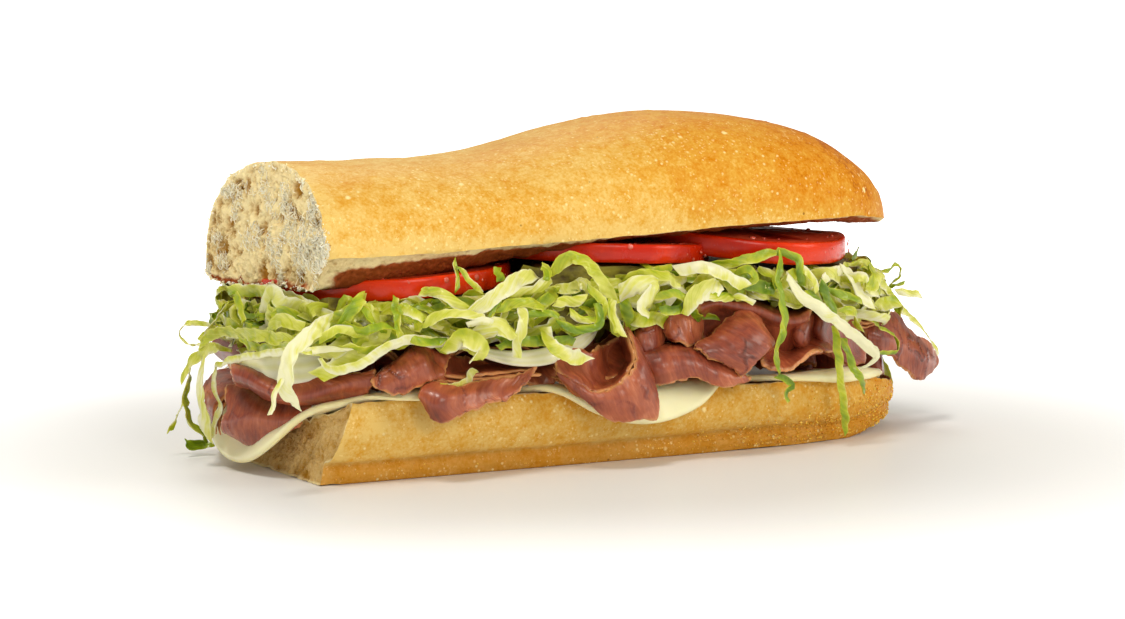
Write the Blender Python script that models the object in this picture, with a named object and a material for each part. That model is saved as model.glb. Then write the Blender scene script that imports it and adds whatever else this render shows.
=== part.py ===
"""Half of a submarine sandwich, cut across at its left end, as separate closed solids.

Metres, +Z up. X runs along the roll from the cut end (-X) to the rounded end (+X), -Y is the front,
and the origin is the middle of the bottom roll's flat base.
"""

import math
import random

import bmesh
import bpy
from mathutils import Vector
from mathutils.bvhtree import BVHTree

MM = 0.001
GAP = 0.35 * MM

# The roll: one loaf split along its length and cut across at the left.
CUT_X = -92 * MM
TIP_X = 92 * MM
HALF_WIDTH = 37.5 * MM
ROUND_START = 34 * MM
SECTIONS_STRAIGHT = 9
SECTIONS_ROUND = 8
COLUMNS = 12
# Extra lines of points across the cut face (first section) and the tip (last section).
CAP_LINES = {0: 3, -1: 1}
TORN = (-1.4 * MM, 0.8 * MM)
TIP_BULGE = 0.4 * MM
SLANT_FADE = 25 * MM

# Bottom roll.
RIM_LEFT = 21.0 * MM
RIM_RIGHT = 18.0 * MM
RIM_TIP = 13.0 * MM
DISH = 3.5 * MM
DISH_AT_CUT = 9.5 * MM
DISH_FADE = 40 * MM
BASE_SHARE = 0.83
BAND_HEIGHT = 5.2 * MM
TIP_LIFT = 3.5 * MM
CUT_SLANT = 7 * MM
TIP_FROM = 60 * MM
RIM_SETTLE = 120 * MM

# Top roll, which leans back a little on its filling.
TOP_TIP_X = 89 * MM
CROWN_LEFT = 76.4 * MM
CROWN_RIGHT = 87.2 * MM
CROWN_RISE_FROM = -50 * MM
CROWN_RISE_TO = 20 * MM
CROWN_ROUND_START = 22 * MM
EDGE_LEFT = 55.0 * MM
EDGE_RIGHT = 59.5 * MM
EDGE_TIP = 57.0 * MM
LEAN = 0.045
TOP_SHIFT_Y = 1.8 * MM
CRUMB_DROP_LEFT = 8.0 * MM
CRUMB_DROP_RIGHT = 1.6 * MM
CRUMB_DROP_FADE = 95 * MM
EDGE_SETTLE = 150 * MM
BACK_RISE = 2.5 * MM
BACK_WIDTH = 7 * MM
LEAST_CROWN = 3 * MM
CROWN_SLANT = 2.5 * MM
CHAMFER_WIDTH = 8.5 * MM
CRUST_POWER = 2.35

# Cheese: round slices that bend over the roll's edges.
CHEESE_THICK = 1.8 * MM
CHEESE_RINGS = (0.03, 0.45, 0.70, 0.80, 0.88, 0.95, 1.0)
CHEESE_SPOKES = 34
CHEESE_LIFT = 1.0 * MM
BEND_X = CUT_X + 3.5 * MM
BEND_X_RADIUS = 14 * MM
BEND_X_MOST = math.radians(50)
BEND_Y_INSIDE = 2.0 * MM
BEND_Y_RADIUS = 5 * MM
BEND_Y_MOST = math.radians(78)

# Beef: folded sheets.
BEEF_THICK = 1.9 * MM
BEEF_ALONG = 8
BEEF_ACROSS = 6
BEEF_BOW = 0.5
BEEF_ROLL_RADIUS = 3.3

# Tomato slices: (share of the radius, share of the thickness) down the outline of half a slice.
TOMATO_SIDES = 30
TOMATO_PROFILE = ((0.0, -0.5), (0.965, -0.5), (1.0, -0.2), (1.0, 0.2), (0.975, 0.5), (0.0, 0.5))

# Onion slivers.
ONION_THICK = 1.9 * MM
ONION_STEPS = 12

# Lettuce heap.
SHRED_WIDTH = 4.6 * MM
SHRED_THICK = 0.9 * MM
SHRED_STEPS = 5
SHRED_COUNT = 34
SHRED_CLEAR = 0.4 * MM
LETTUCE_SEED = 11
HEAP_LEFT = -90 * MM
HEAP_ROUND = 48 * MM
HEAP_TIP = 32 * MM
HEAP_HALF = 33 * MM
HEAP_LOW = 27 * MM
HEAP_TOP = 48 * MM
HEAP_LEAST = 0.8 * MM
HEAP_CELLS = (14, 6)
# How many cells round a point of the core are searched for the food above and below it.
HEAP_LOOK = 1.3
# Shares of the heap's outline where its front, rounded tip and back end.
HEAP_TURNS = (0.36, 0.56, 0.86)
# Knots in millimetres of the long shreds that hang clear of the heap.
HANGING_SHREDS = (
    ((-86, 24, 35), (-96, 27, 35), (-104, 26, 33), (-102, 24, 29), (-95, 22, 28)),
    ((-86, 24, 37), (-97, 30, 30), (-103, 31, 20), (-103, 30, 8), (-101, 27, 2)),
    ((-87, 26, 38), (-95, 22, 41), (-96, 0, 40), (-94, -22, 37), (-86, -27, 36)),
    ((-86, -16, 38), (-97, -20, 36), (-105, -20, 28), (-109, -18, 18)),
    ((-86, -24, 36), (-98, -16, 35), (-104, 8, 33), (-107, 24, 28), (-107, 22, 18)),
    ((36, -28, 42), (42, -40, 43), (56, -40, 35), (71, -35, 24), (68, -35, 19.5)),
    ((34, -28, 43), (35, -41, 43.5), (36, -45, 35), (34.5, -46, 27), (36, -45.5, 20), (37.5, -44.5, 12)),
    ((54, -26, 42), (55, -39, 33), (55, -40, 22), (57, -39.5, 3)),
    ((58, -24, 42), (61, -38, 31), (63, -38.5, 24), (67, -37, 14)),
    ((66, -14, 42), (78, -17, 43), (89, -17, 35), (99, -17, 28), (103, -17, 19)),
    ((60, -22, 40), (66, -30, 34), (78, -29, 27), (74, -28, 23), (67, -29, 27)),
    ((70, 8, 42), (92, 17, 35), (99, 20, 20), (100, 21, 4)),
    ((-84, -26, 38), (-70, -42, 42), (-56, -43, 40)),
    ((-35, -30, 43), (-22, -38, 48), (-14, -38, 48), (-8, -38, 43), (-6, -36, 38)),
)

COLOURS = {
    "crust": ((0.80, 0.52, 0.20), 0.55),
    "cheese": ((0.93, 0.86, 0.62), 0.40),
    "beef": ((0.46, 0.19, 0.14), 0.38),
    "tomato": ((0.72, 0.05, 0.03), 0.22),
    "onion": ((0.88, 0.90, 0.76), 0.30),
    "lettuce": ((0.52, 0.68, 0.14), 0.42),
}


def mix(a, b, t):
    """The value between a and b at share t."""
    return a + (b - a) * t


def ease(t):
    """A smooth step from 0 to 1, flat at both ends."""
    t = min(1.0, max(0.0, t))
    return t * t * (3 - 2 * t)


def material(name):
    """The Principled material of one kind of food."""
    found = bpy.data.materials.get(name)
    if found:
        return found
    colour, roughness = COLOURS[name]
    made = bpy.data.materials.new(name)
    made.use_nodes = True
    shader = made.node_tree.nodes["Principled BSDF"]
    shader.inputs["Base Color"].default_value = (*colour, 1)
    shader.inputs["Roughness"].default_value = roughness
    shader.inputs["Metallic"].default_value = 0
    made.diffuse_color = (*colour, 1)
    return made


def add_object(name, points, faces, kind, smooth=True):
    """A named object from points and faces, outward normals, with the material of its kind."""
    mesh = bpy.data.meshes.new(name)
    mesh.from_pydata([tuple(p) for p in points], [], faces)
    work = bmesh.new()
    work.from_mesh(mesh)
    bmesh.ops.recalc_face_normals(work, faces=work.faces)
    work.to_mesh(mesh)
    work.free()
    mesh.materials.append(material(kind))
    if smooth:
        mesh.shade_smooth()
        mesh.set_sharp_from_angle(angle=math.radians(50))
    made = bpy.data.objects.new(name, mesh)
    bpy.context.scene.collection.objects.link(made)
    return made


def round_share(x, start, tip, power):
    """How much of the full size is left at x, from 1 on the straight to 0 at the rounded tip."""
    if x <= start:
        return 1.0
    u = min(1.0, (x - start) / (tip - start))
    return (1 - u * u) ** power


def stations(tip):
    """Places of the cross-sections along a half roll, closer together round its tip."""
    straight = [mix(CUT_X, ROUND_START, i / SECTIONS_STRAIGHT) for i in range(SECTIONS_STRAIGHT)]
    quarter = 0.485 * math.pi
    rounded = [
        ROUND_START + (tip - ROUND_START) * math.sin(quarter * i / SECTIONS_ROUND)
        for i in range(SECTIONS_ROUND + 1)
    ]
    return straight + rounded


def half_width(x, tip=TIP_X):
    """Half a roll's width at x."""
    return HALF_WIDTH * max(0.06, round_share(x, ROUND_START, tip, 0.5))


def rim_height(x):
    """Height of the bottom roll's cut edge."""
    along = mix(RIM_LEFT, RIM_RIGHT, ease((x - CUT_X) / RIM_SETTLE))
    return mix(along, RIM_TIP, ease((x - TIP_FROM) / (TIP_X - TIP_FROM)))


def cut_height(x, y):
    """Height of the bottom roll's cut surface, which the filling presses down in the middle."""
    dish = mix(DISH_AT_CUT, DISH, ease((x - CUT_X) / DISH_FADE))
    dish = min(dish, 0.4 * rim_height(x))
    side = min(1.0, abs(y) / half_width(x))
    return rim_height(x) - dish * (1 - side * side)


def bottom_section(x):
    """(lower chain, upper chain) of the bottom roll at x, both from the front rim to the back rim."""
    wide = half_width(x)
    share = wide / HALF_WIDTH
    rim = rim_height(x)
    lift = TIP_LIFT * ease((x - TIP_FROM) / (TIP_X - TIP_FROM))
    foot = BASE_SHARE * wide
    band = BAND_HEIGHT * (0.5 + 0.5 * share)
    half = [
        (wide - 1.6 * MM * share, rim),
        (wide - 0.3 * MM * share, mix(lift, rim, 0.84)),
        (wide, mix(lift, rim, 0.58)),
        (mix(foot, wide, 0.62), lift + band + 1.3 * MM * share),
        (foot + 1.0 * MM * share, lift + band),
        (foot + 1.5 * MM * share, lift + 0.55 * band),
        (foot, lift),
        (0.6 * foot, lift),
    ]
    lower = [(-y, z) for y, z in half] + [(0.0, lift)] + [(y, z) for y, z in reversed(half)]
    edge = half[0][0]
    upper = []
    columns = len(lower) - 1
    for i in range(columns + 1):
        y = mix(-edge, edge, i / columns)
        upper.append((y, cut_height(x, y)))
    lower[0], lower[-1] = upper[0], upper[-1]
    return lower, upper


def edge_height(x):
    """Height of the top roll's front crust edge."""
    along = mix(EDGE_LEFT, EDGE_RIGHT, ease((x - CUT_X) / EDGE_SETTLE))
    return mix(along, EDGE_TIP, ease((x - TIP_FROM) / (TIP_X - TIP_FROM)))


def crown_height(x):
    """Height of the top roll's crown, low at the cut end and humped towards the tip."""
    t = ease((x - CROWN_RISE_FROM) / (CROWN_RISE_TO - CROWN_RISE_FROM))
    crown = mix(CROWN_LEFT, CROWN_RIGHT, t)
    return mix(edge_height(x), crown, round_share(x, CROWN_ROUND_START, TOP_TIP_X, 0.56))


def underside_height(x, y):
    """Height of the top roll's cut surface, below its crust edges and lower at the back."""
    drop = mix(CRUMB_DROP_LEFT, CRUMB_DROP_RIGHT, ease((x - CUT_X) / CRUMB_DROP_FADE))
    share = half_width(x, TOP_TIP_X) / HALF_WIDTH
    return edge_height(x) - drop * share - LEAN * (y + 0.75 * HALF_WIDTH)


def top_section(x):
    """(lower chain, upper chain) of the top roll at x, both from the front crust edge to the back one."""
    wide = half_width(x, TOP_TIP_X)
    share = wide / HALF_WIDTH
    front = edge_height(x)
    back = underside_height(x, wide) + BACK_RISE * share
    crown = max(crown_height(x), front + LEAST_CROWN)
    centre = TOP_SHIFT_Y * share
    lower = []
    for i in range(COLUMNS + 1):
        t = i / COLUMNS
        y = centre + mix(-wide, wide, t)
        chamfer = ease((y - centre + wide) / (CHAMFER_WIDTH * share))
        rise = ease((y - centre - wide) / (BACK_WIDTH * share) + 1)
        z = mix(front, underside_height(x, y), chamfer)
        lower.append((y, mix(z, back, rise)))
    upper = []
    for i in range(COLUMNS + 1):
        angle = math.pi * (1 - i / COLUMNS)
        side = math.cos(angle)
        y = centre + wide * math.copysign(abs(side) ** (2 / CRUST_POWER), side)
        spring = mix(front, back, ease(0.5 + 0.5 * side))
        z = spring + (crown - spring) * abs(math.sin(angle)) ** (2 / CRUST_POWER)
        upper.append((y, z))
    upper[0] = lower[0]
    upper[-1] = lower[-1]
    return lower, upper


def loft_roll(name, section, tip, slant, seed):
    """A lofted half roll with a torn, bumpy crumb face at the cut end.

    Both chains of its sections have the same number of points.
    """
    rng = random.Random(seed)
    points = []
    faces = []
    rows = []
    for x in stations(tip):
        lower, upper = section(x)
        loop = lower + upper[-2:0:-1]
        row = []
        for y, z in loop:
            shift = slant(z) * max(0.0, 1 - (x - CUT_X) / SLANT_FADE)
            row.append(len(points))
            points.append((x + shift, y, z))
        rows.append(row)
    count = len(rows[0])
    columns = count // 2
    for a, b in zip(rows, rows[1:]):
        for i in range(count):
            j = (i + 1) % count
            faces.append((a[i], a[j], b[j], b[i]))
    for end, extra in CAP_LINES.items():
        row = rows[end]
        low = row[: columns + 1]
        high = [row[0], *row[:columns:-1], row[columns]]
        lines = [low]
        for k in range(1, extra + 1):
            line = [low[0]]
            for i in range(1, columns):
                p = Vector(points[low[i]]).lerp(Vector(points[high[i]]), k / (extra + 1))
                p.x += rng.uniform(*TORN) if end == 0 else TIP_BULGE
                line.append(len(points))
                points.append(tuple(p))
            line.append(low[-1])
            lines.append(line)
        lines.append(high)
        for a, b in zip(lines, lines[1:]):
            for i in range(columns):
                face = (a[i], a[i + 1], b[i + 1], b[i])
                face = tuple(dict.fromkeys(face))
                if len(face) > 2:
                    faces.append(face)
    return add_object(name, points, faces, "crust")


def sheet_normal(grid, i, j):
    """Unit normal of a grid of points at row i, column j."""
    last_i, last_j = len(grid) - 1, len(grid[0]) - 1
    along = grid[min(i + 1, last_i)][j] - grid[max(i - 1, 0)][j]
    across = grid[i][min(j + 1, last_j)] - grid[i][max(j - 1, 0)]
    return along.cross(across).normalized()


def sheet_solid(name, grid, thick, kind):
    """A thin closed solid whose mid surface is a grid of points, both faces split alike."""
    rows, columns = len(grid), len(grid[0])
    points = []
    for side in (0.5, -0.5):
        for i in range(rows):
            for j in range(columns):
                points.append(grid[i][j] + sheet_normal(grid, i, j) * thick * side)
    under = rows * columns

    def at(i, j):
        return i * columns + j

    faces = []
    for i in range(rows - 1):
        for j in range(columns - 1):
            a, b, c, d = at(i, j), at(i + 1, j), at(i + 1, j + 1), at(i, j + 1)
            faces += [(a, b, c), (a, c, d)]
            faces += [(a + under, c + under, b + under), (a + under, d + under, c + under)]
    border = [at(i, 0) for i in range(rows)] + [at(rows - 1, j) for j in range(1, columns)]
    border += [at(i, columns - 1) for i in range(rows - 2, -1, -1)]
    border += [at(0, j) for j in range(columns - 2, 0, -1)]
    for a, b in zip(border, border[1:] + border[:1]):
        faces.append((a, a + under, b + under))
        faces.append((a, b + under, b))
    return add_object(name, points, faces, kind)


def hang(s, radius, most):
    """(reach, drop) of a sheet that bends over an edge, s past it, to at most that angle."""
    angle = min(s / radius, most)
    rest = max(0.0, s - radius * most)
    reach = radius * math.sin(angle) + rest * math.cos(most)
    drop = radius * (1 - math.cos(angle)) + rest * math.sin(most)
    return reach, drop


def draped(x, y):
    """Where a point of a flat slice laid on the bottom roll comes to rest, over its edges."""
    reach_x, drop_x = hang(max(0.0, BEND_X - x), BEND_X_RADIUS, BEND_X_MOST)
    along = max(x, BEND_X)
    rim_y = half_width(along) - BEND_Y_INSIDE
    reach_y, drop_y = hang(max(0.0, abs(y) - rim_y), BEND_Y_RADIUS, BEND_Y_MOST)
    inside = min(abs(y), rim_y)
    z = cut_height(along, inside) - drop_x - drop_y
    return Vector((along - reach_x, math.copysign(inside + reach_y, y), z))


def cheese_slice(name, centre, radius, low_x, high_x):
    """A round slice draped on the bottom roll. It climbs from low_x to high_x onto the slice below it."""
    step = 0.4 * MM
    rings = []
    for share in CHEESE_RINGS:
        ring = []
        reach = radius * share
        for j in range(CHEESE_SPOKES):
            angle = 2 * math.pi * j / CHEESE_SPOKES
            x = centre[0] + reach * math.cos(angle)
            y = centre[1] + reach * math.sin(angle)
            along = draped(x + step, y) - draped(x - step, y)
            across = draped(x, y + step) - draped(x, y - step)
            normal = along.cross(across).normalized()
            climb = ease((x - low_x) / (high_x - low_x)) if high_x != low_x else 0.0
            lift = CHEESE_LIFT + 0.5 * CHEESE_THICK + climb * (CHEESE_THICK + CHEESE_LIFT)
            ring.append((draped(x, y) + normal * lift, normal))
        rings.append(ring)
    points = []
    for side in (0.5, -0.5):
        for ring in rings:
            points += [p + n * CHEESE_THICK * side for p, n in ring]
    count = CHEESE_SPOKES
    under = len(rings) * count
    faces = []
    last = len(rings) - 1
    for i in range(last):
        for j in range(count):
            k = (j + 1) % count
            a, b, c, d = i * count + j, (i + 1) * count + j, (i + 1) * count + k, i * count + k
            faces += [(a, b, c), (a, c, d)]
            faces += [(a + under, c + under, b + under), (a + under, d + under, c + under)]
    for j in range(count):
        k = (j + 1) % count
        a, b = last * count + j, last * count + k
        faces += [(a, a + under, b + under), (a, b + under, b)]
    faces.append(tuple(range(count)))
    faces.append(tuple(under + j for j in reversed(range(count))))
    return add_object(name, points, faces, "cheese")


def smooth_line(knots, count):
    """Points along a smooth curve through the knots, evenly in knot number."""
    line = []
    last = len(knots) - 1
    for n in range(count + 1):
        t = n * last / count
        k = min(int(t), last - 1)
        f = t - k
        p0, p1 = knots[max(k - 1, 0)], knots[k]
        p2, p3 = knots[k + 1], knots[min(k + 2, last)]
        cubic = 3 * (p1 - p2) + p3 - p0
        square = 2 * p0 - 5 * p1 + 4 * p2 - p3
        line.append(p1 + 0.5 * f * (p2 - p0 + f * (square + f * cubic)))
    return line


def beef_slice(name, rows):
    """A slice of beef through rows of knots in millimetres, front row first."""
    lines = [smooth_line([Vector(knot) * MM for knot in row], BEEF_ALONG) for row in rows]
    columns = [smooth_line([line[i] for line in lines], BEEF_ACROSS) for i in range(BEEF_ALONG + 1)]
    return sheet_solid(name, columns, BEEF_THICK, "beef")


def beef_run(name, front, back, front_y, back_y):
    """A slice that runs through the sandwich: an (x, z) fold line at its front and one at its back."""
    rows = []
    for t in (0.0, 0.12, 0.5, 0.88, 1.0):
        bow = BEEF_BOW * math.sin(2 * math.pi * t)
        y = mix(front_y, back_y, t)
        row = [(mix(a[0], b[0], t), y, mix(a[1], b[1], t) - bow) for a, b in zip(front, back)]
        rows.append(row)
    return beef_slice(name, rows)


def tomato_slice(name, centre, radius, thick, tilt_x, tilt_y):
    """A round slice with a softly bulged rim, tilted by its slopes along X and Y."""
    points = []
    rows = []
    for share, level in TOMATO_PROFILE:
        row = []
        sides = TOMATO_SIDES if share else 1
        for j in range(sides):
            angle = 2 * math.pi * j / TOMATO_SIDES
            uneven = 1 + 0.018 * math.sin(3 * angle + 1) + 0.012 * math.cos(5 * angle)
            x = share * radius * uneven * math.cos(angle)
            y = share * radius * uneven * math.sin(angle)
            z = level * thick * MM + tilt_x * x + tilt_y * y
            row.append(len(points))
            points.append((centre[0] * MM + x, centre[1] * MM + y, centre[2] * MM + z))
        rows.append(row)
    faces = []
    for a, b in zip(rows, rows[1:]):
        for j in range(TOMATO_SIDES):
            k = (j + 1) % TOMATO_SIDES
            face = (a[j % len(a)], a[k % len(a)], b[k % len(b)], b[j % len(b)])
            faces.append(tuple(dict.fromkeys(face)))
    return add_object(name, points, faces, "tomato")


def ribbon(centres, sides, ups, width, thick):
    """Points and faces of a closed strip through centres, with flat sides across and thickness up."""
    points = []
    faces = []
    last = len(centres) - 1
    for i, (centre, side, up) in enumerate(zip(centres, sides, ups)):
        a = 0.5 * width[i] * side
        b = 0.5 * thick * up
        points += [centre - a - b, centre + a - b, centre + a + b, centre - a + b]
        if i < last:
            for k in range(4):
                n = (k + 1) % 4
                p, q = 4 * i + k, 4 * i + n
                faces += [(p, q, q + 4), (p, q + 4, p + 4)]
    end = 4 * last
    faces += [(0, 2, 1), (0, 3, 2), (end, end + 1, end + 2), (end, end + 2, end + 3)]
    return points, faces


def onion_sliver(name, centre, radius, from_deg, to_deg, height, rise, sag):
    """A cut arc of an onion ring that lies on the beef; rise is along the arc, sag at its middle."""
    centres, sides, ups, widths = [], [], [], []
    for i in range(ONION_STEPS + 1):
        t = i / ONION_STEPS
        angle = math.radians(mix(from_deg, to_deg, t))
        out = Vector((math.cos(angle), math.sin(angle), 0))
        z = centre[2] + rise * t - sag * 4 * t * (1 - t)
        centres.append(Vector((centre[0] + radius * out.x, centre[1] + radius * out.y, z)) * MM)
        lean = Vector((0.35 * out.x, 0.35 * out.y, -1)).normalized()
        sides.append(lean)
        ups.append(out.cross(Vector((0, 0, 1))).cross(lean).normalized())
        widths.append(height * MM * (0.55 + 0.45 * math.sin(math.pi * t)))
    points, faces = ribbon(centres, sides, ups, widths, ONION_THICK)
    return add_object(name, points, faces, "onion")


def press_into(roll, slices):
    """Dents a roll where slices press into its crumb, a gap wider than the slices."""
    for pressed in slices:
        cutter = pressed.copy()
        cutter.data = pressed.data.copy()
        for vertex in cutter.data.vertices:
            vertex.co += vertex.normal * GAP
        bpy.context.scene.collection.objects.link(cutter)
        cut = roll.modifiers.new("dent", "BOOLEAN")
        cut.operation = "DIFFERENCE"
        cut.object = cutter
        apply_modifiers(roll)
        bpy.data.objects.remove(cutter)


def apply_modifiers(target):
    """Makes an object's mesh what its modifiers make of it."""
    bpy.context.view_layer.update()
    seen = target.evaluated_get(bpy.context.evaluated_depsgraph_get())
    made = bpy.data.meshes.new_from_object(seen)
    target.modifiers.clear()
    target.data = made


def tree_of(objects):
    """One search tree over the surfaces of several objects."""
    points, faces = [], []
    for one in objects:
        base = len(points)
        points += [vertex.co.copy() for vertex in one.data.vertices]
        faces += [[base + v for v in face.vertices] for face in one.data.polygons]
    return BVHTree.FromPolygons(points, faces)


def heap_edge(s):
    """(point, outward direction) on the lettuce heap's outline in plan, s from 0 to 1 round it."""
    front, tip, back = HEAP_TURNS
    if s < front:
        x = mix(HEAP_LEFT, HEAP_ROUND, s / front)
        return Vector((x, -HEAP_HALF, 0)), Vector((0, -1, 0))
    if s < tip:
        angle = mix(-0.5, 0.5, (s - front) / (tip - front)) * math.pi
        out = Vector((math.cos(angle), math.sin(angle), 0))
        return Vector((HEAP_ROUND + HEAP_TIP * out.x, HEAP_HALF * out.y, 0)), out
    if s < back:
        x = mix(HEAP_ROUND, HEAP_LEFT, (s - tip) / (back - tip))
        return Vector((x, HEAP_HALF, 0)), Vector((0, 1, 0))
    y = mix(HEAP_HALF, -HEAP_HALF, (s - back) / (1 - back))
    return Vector((HEAP_LEFT, y, 0)), Vector((-1, 0, 0))


def room_between(below, above, x, y, reach):
    """(low, high): the free space between filling and tomato near a point in plan."""
    low, high = 0.0, HEAP_TOP
    for i in range(-4, 5):
        for j in range(-4, 5):
            at = Vector((x + 0.25 * i * reach[0], y + 0.25 * j * reach[1], 0))
            hit = below.ray_cast(at + Vector((0, 0, 0.2)), Vector((0, 0, -1)))[0]
            low = max(low, hit.z if hit else 0.0)
            hit = above.ray_cast(at - Vector((0, 0, 0.01)), Vector((0, 0, 1)))[0]
            high = min(high, hit.z if hit else HEAP_TOP)
    return max(low + 2 * GAP, HEAP_LOW), high - 2 * GAP


def lettuce_core(below, above):
    """The bare heap: it fills the room between the beef and the tomatoes."""
    rows, columns = HEAP_CELLS
    right = HEAP_ROUND + HEAP_TIP
    reach = (HEAP_LOOK * (right - HEAP_LEFT) / rows, HEAP_LOOK * 2 * HEAP_HALF / columns)
    tops, bottoms = [], []
    for i in range(rows + 1):
        x = mix(HEAP_LEFT, right, i / rows)
        over = max(0.0, (x - HEAP_ROUND) / HEAP_TIP)
        half = HEAP_HALF * max(0.3, math.sqrt(max(0.0, 1 - over * over)))
        for j in range(columns + 1):
            y = mix(-half, half, j / columns)
            low, high = room_between(below, above, x, y, reach)
            if high < low + HEAP_LEAST:
                low, high = 0.5 * (low + high), 0.5 * (low + high) + GAP
            edge = 0.35 if i in (0, rows) or j in (0, columns) else 0.0
            tops.append(Vector((x, y, mix(high, low, edge))))
            bottoms.append(Vector((x, y, mix(low, high, edge * 0.6))))
    grid_faces = []
    wide = columns + 1
    under = len(tops)
    for i in range(rows):
        for j in range(columns):
            a, b = i * wide + j, (i + 1) * wide + j
            grid_faces.append((a, b, b + 1, a + 1))
            grid_faces.append((a + under, a + under + 1, b + under + 1, b + under))
    border = [i * wide for i in range(rows + 1)]
    border += [rows * wide + j for j in range(1, wide)]
    border += [i * wide + columns for i in range(rows - 1, -1, -1)]
    border += [j for j in range(columns - 1, 0, -1)]
    for a, b in zip(border, border[1:] + border[:1]):
        grid_faces.append((a, a + under, b + under, b))
    return add_object("lettuce", tops + bottoms, grid_faces, "lettuce", smooth=False)


def shred(route, width, twist):
    """Points and faces of one strip of leaf along a route, its broad side turned outwards."""
    centres = smooth_line(route, SHRED_STEPS)
    sides, ups, widths = [], [], []
    for i, centre in enumerate(centres):
        along = (centres[min(i + 1, SHRED_STEPS)] - centres[max(i - 1, 0)]).normalized()
        middle = Vector((min(max(centre.x, -70 * MM), 50 * MM), 0, 36 * MM))
        out = centre - middle
        out.z *= 0.4
        side = along.cross(out.normalized()).normalized()
        side = (side + along.cross(side) * twist * (i / SHRED_STEPS - 0.3)).normalized()
        sides.append(side)
        ups.append(side.cross(along).normalized())
        widths.append(width * (0.75 if i in (0, SHRED_STEPS) else 1.0))
    return ribbon(centres, sides, ups, widths, SHRED_THICK)


def is_clear(points, faces, others):
    """True where a strip neither crosses a neighbour nor comes near one."""
    if others.overlap(BVHTree.FromPolygons(points, faces)):
        return False
    return all(others.find_nearest(point)[3] > SHRED_CLEAR for point in points)


def random_route(rng, below, above):
    """A route that leaves the heap, runs along its side and dips back or hangs."""
    start = rng.random() ** 1.15
    span = rng.uniform(0.05, 0.11)
    turn = rng.choice((-1, 1))
    base, out = heap_edge(start)
    low, high = room_between(below, above, base.x, base.y, (4 * MM, 4 * MM))
    height = mix(low, high, rng.uniform(0.25, 0.85))
    route = [base - out * 5 * MM + Vector((0, 0, height))]
    droop = rng.choice((0, 0, 2, 5, 9)) * MM
    for t, bulge in ((0.3, rng.uniform(2, 5)), (0.65, rng.uniform(3, 8)), (1.0, rng.uniform(0, 7))):
        base, out = heap_edge((start + turn * span * t) % 1.0)
        z = height + rng.uniform(-4, 4) * MM - droop * t * t
        route.append(base + out * bulge * MM + Vector((0, 0, z)))
    return route


def fuse(target, pieces):
    """Joins closed pieces to the target by one union."""
    group = bpy.data.collections.new("shreds")
    bpy.context.scene.collection.children.link(group)
    made = []
    for number, (points, faces) in enumerate(pieces):
        one = add_object(f"shred_{number}", points, faces, "lettuce", smooth=False)
        bpy.context.scene.collection.objects.unlink(one)
        group.objects.link(one)
        made.append(one)
    join = target.modifiers.new("join", "BOOLEAN")
    join.operation = "UNION"
    join.operand_type = "COLLECTION"
    join.collection = group
    join.solver = "MANIFOLD"
    apply_modifiers(target)
    for one in made:
        bpy.data.objects.remove(one)
    bpy.data.collections.remove(group)


def keep_largest(target):
    """Drops the loose scraps of a fused object."""
    work = bmesh.new()
    work.from_mesh(target.data)
    left = set(work.verts)
    shells = []
    while left:
        shell = {left.pop()}
        edge = list(shell)
        while edge:
            new = {e.other_vert(v) for v in edge for e in v.link_edges} - shell
            shell |= new
            edge = list(new)
        left -= shell
        shells.append(shell)
    shells.sort(key=len)
    for scrap in shells[:-1]:
        bmesh.ops.delete(work, geom=list(scrap), context="VERTS")
    work.to_mesh(target.data)
    work.free()


def build_lettuce(below, above):
    """The heap of shredded lettuce: one core with the showing shreds fused on."""
    rng = random.Random(LETTUCE_SEED)
    lower, upper = tree_of(below), tree_of(above)
    others = tree_of(below + above)
    heap = lettuce_core(lower, upper)
    pieces = []
    for route in HANGING_SHREDS:
        points, faces = shred([Vector(knot) * MM for knot in route], SHRED_WIDTH, 0.3)
        if is_clear(points, faces, others):
            pieces.append((points, faces))
    tries = 0
    while len(pieces) < SHRED_COUNT and tries < 40 * SHRED_COUNT:
        tries += 1
        width = SHRED_WIDTH * rng.uniform(0.7, 1.25)
        points, faces = shred(random_route(rng, lower, upper), width, rng.uniform(-1.5, 1.5))
        if is_clear(points, faces, others):
            pieces.append((points, faces))
    fuse(heap, pieces)
    keep_largest(heap)
    return heap


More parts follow.
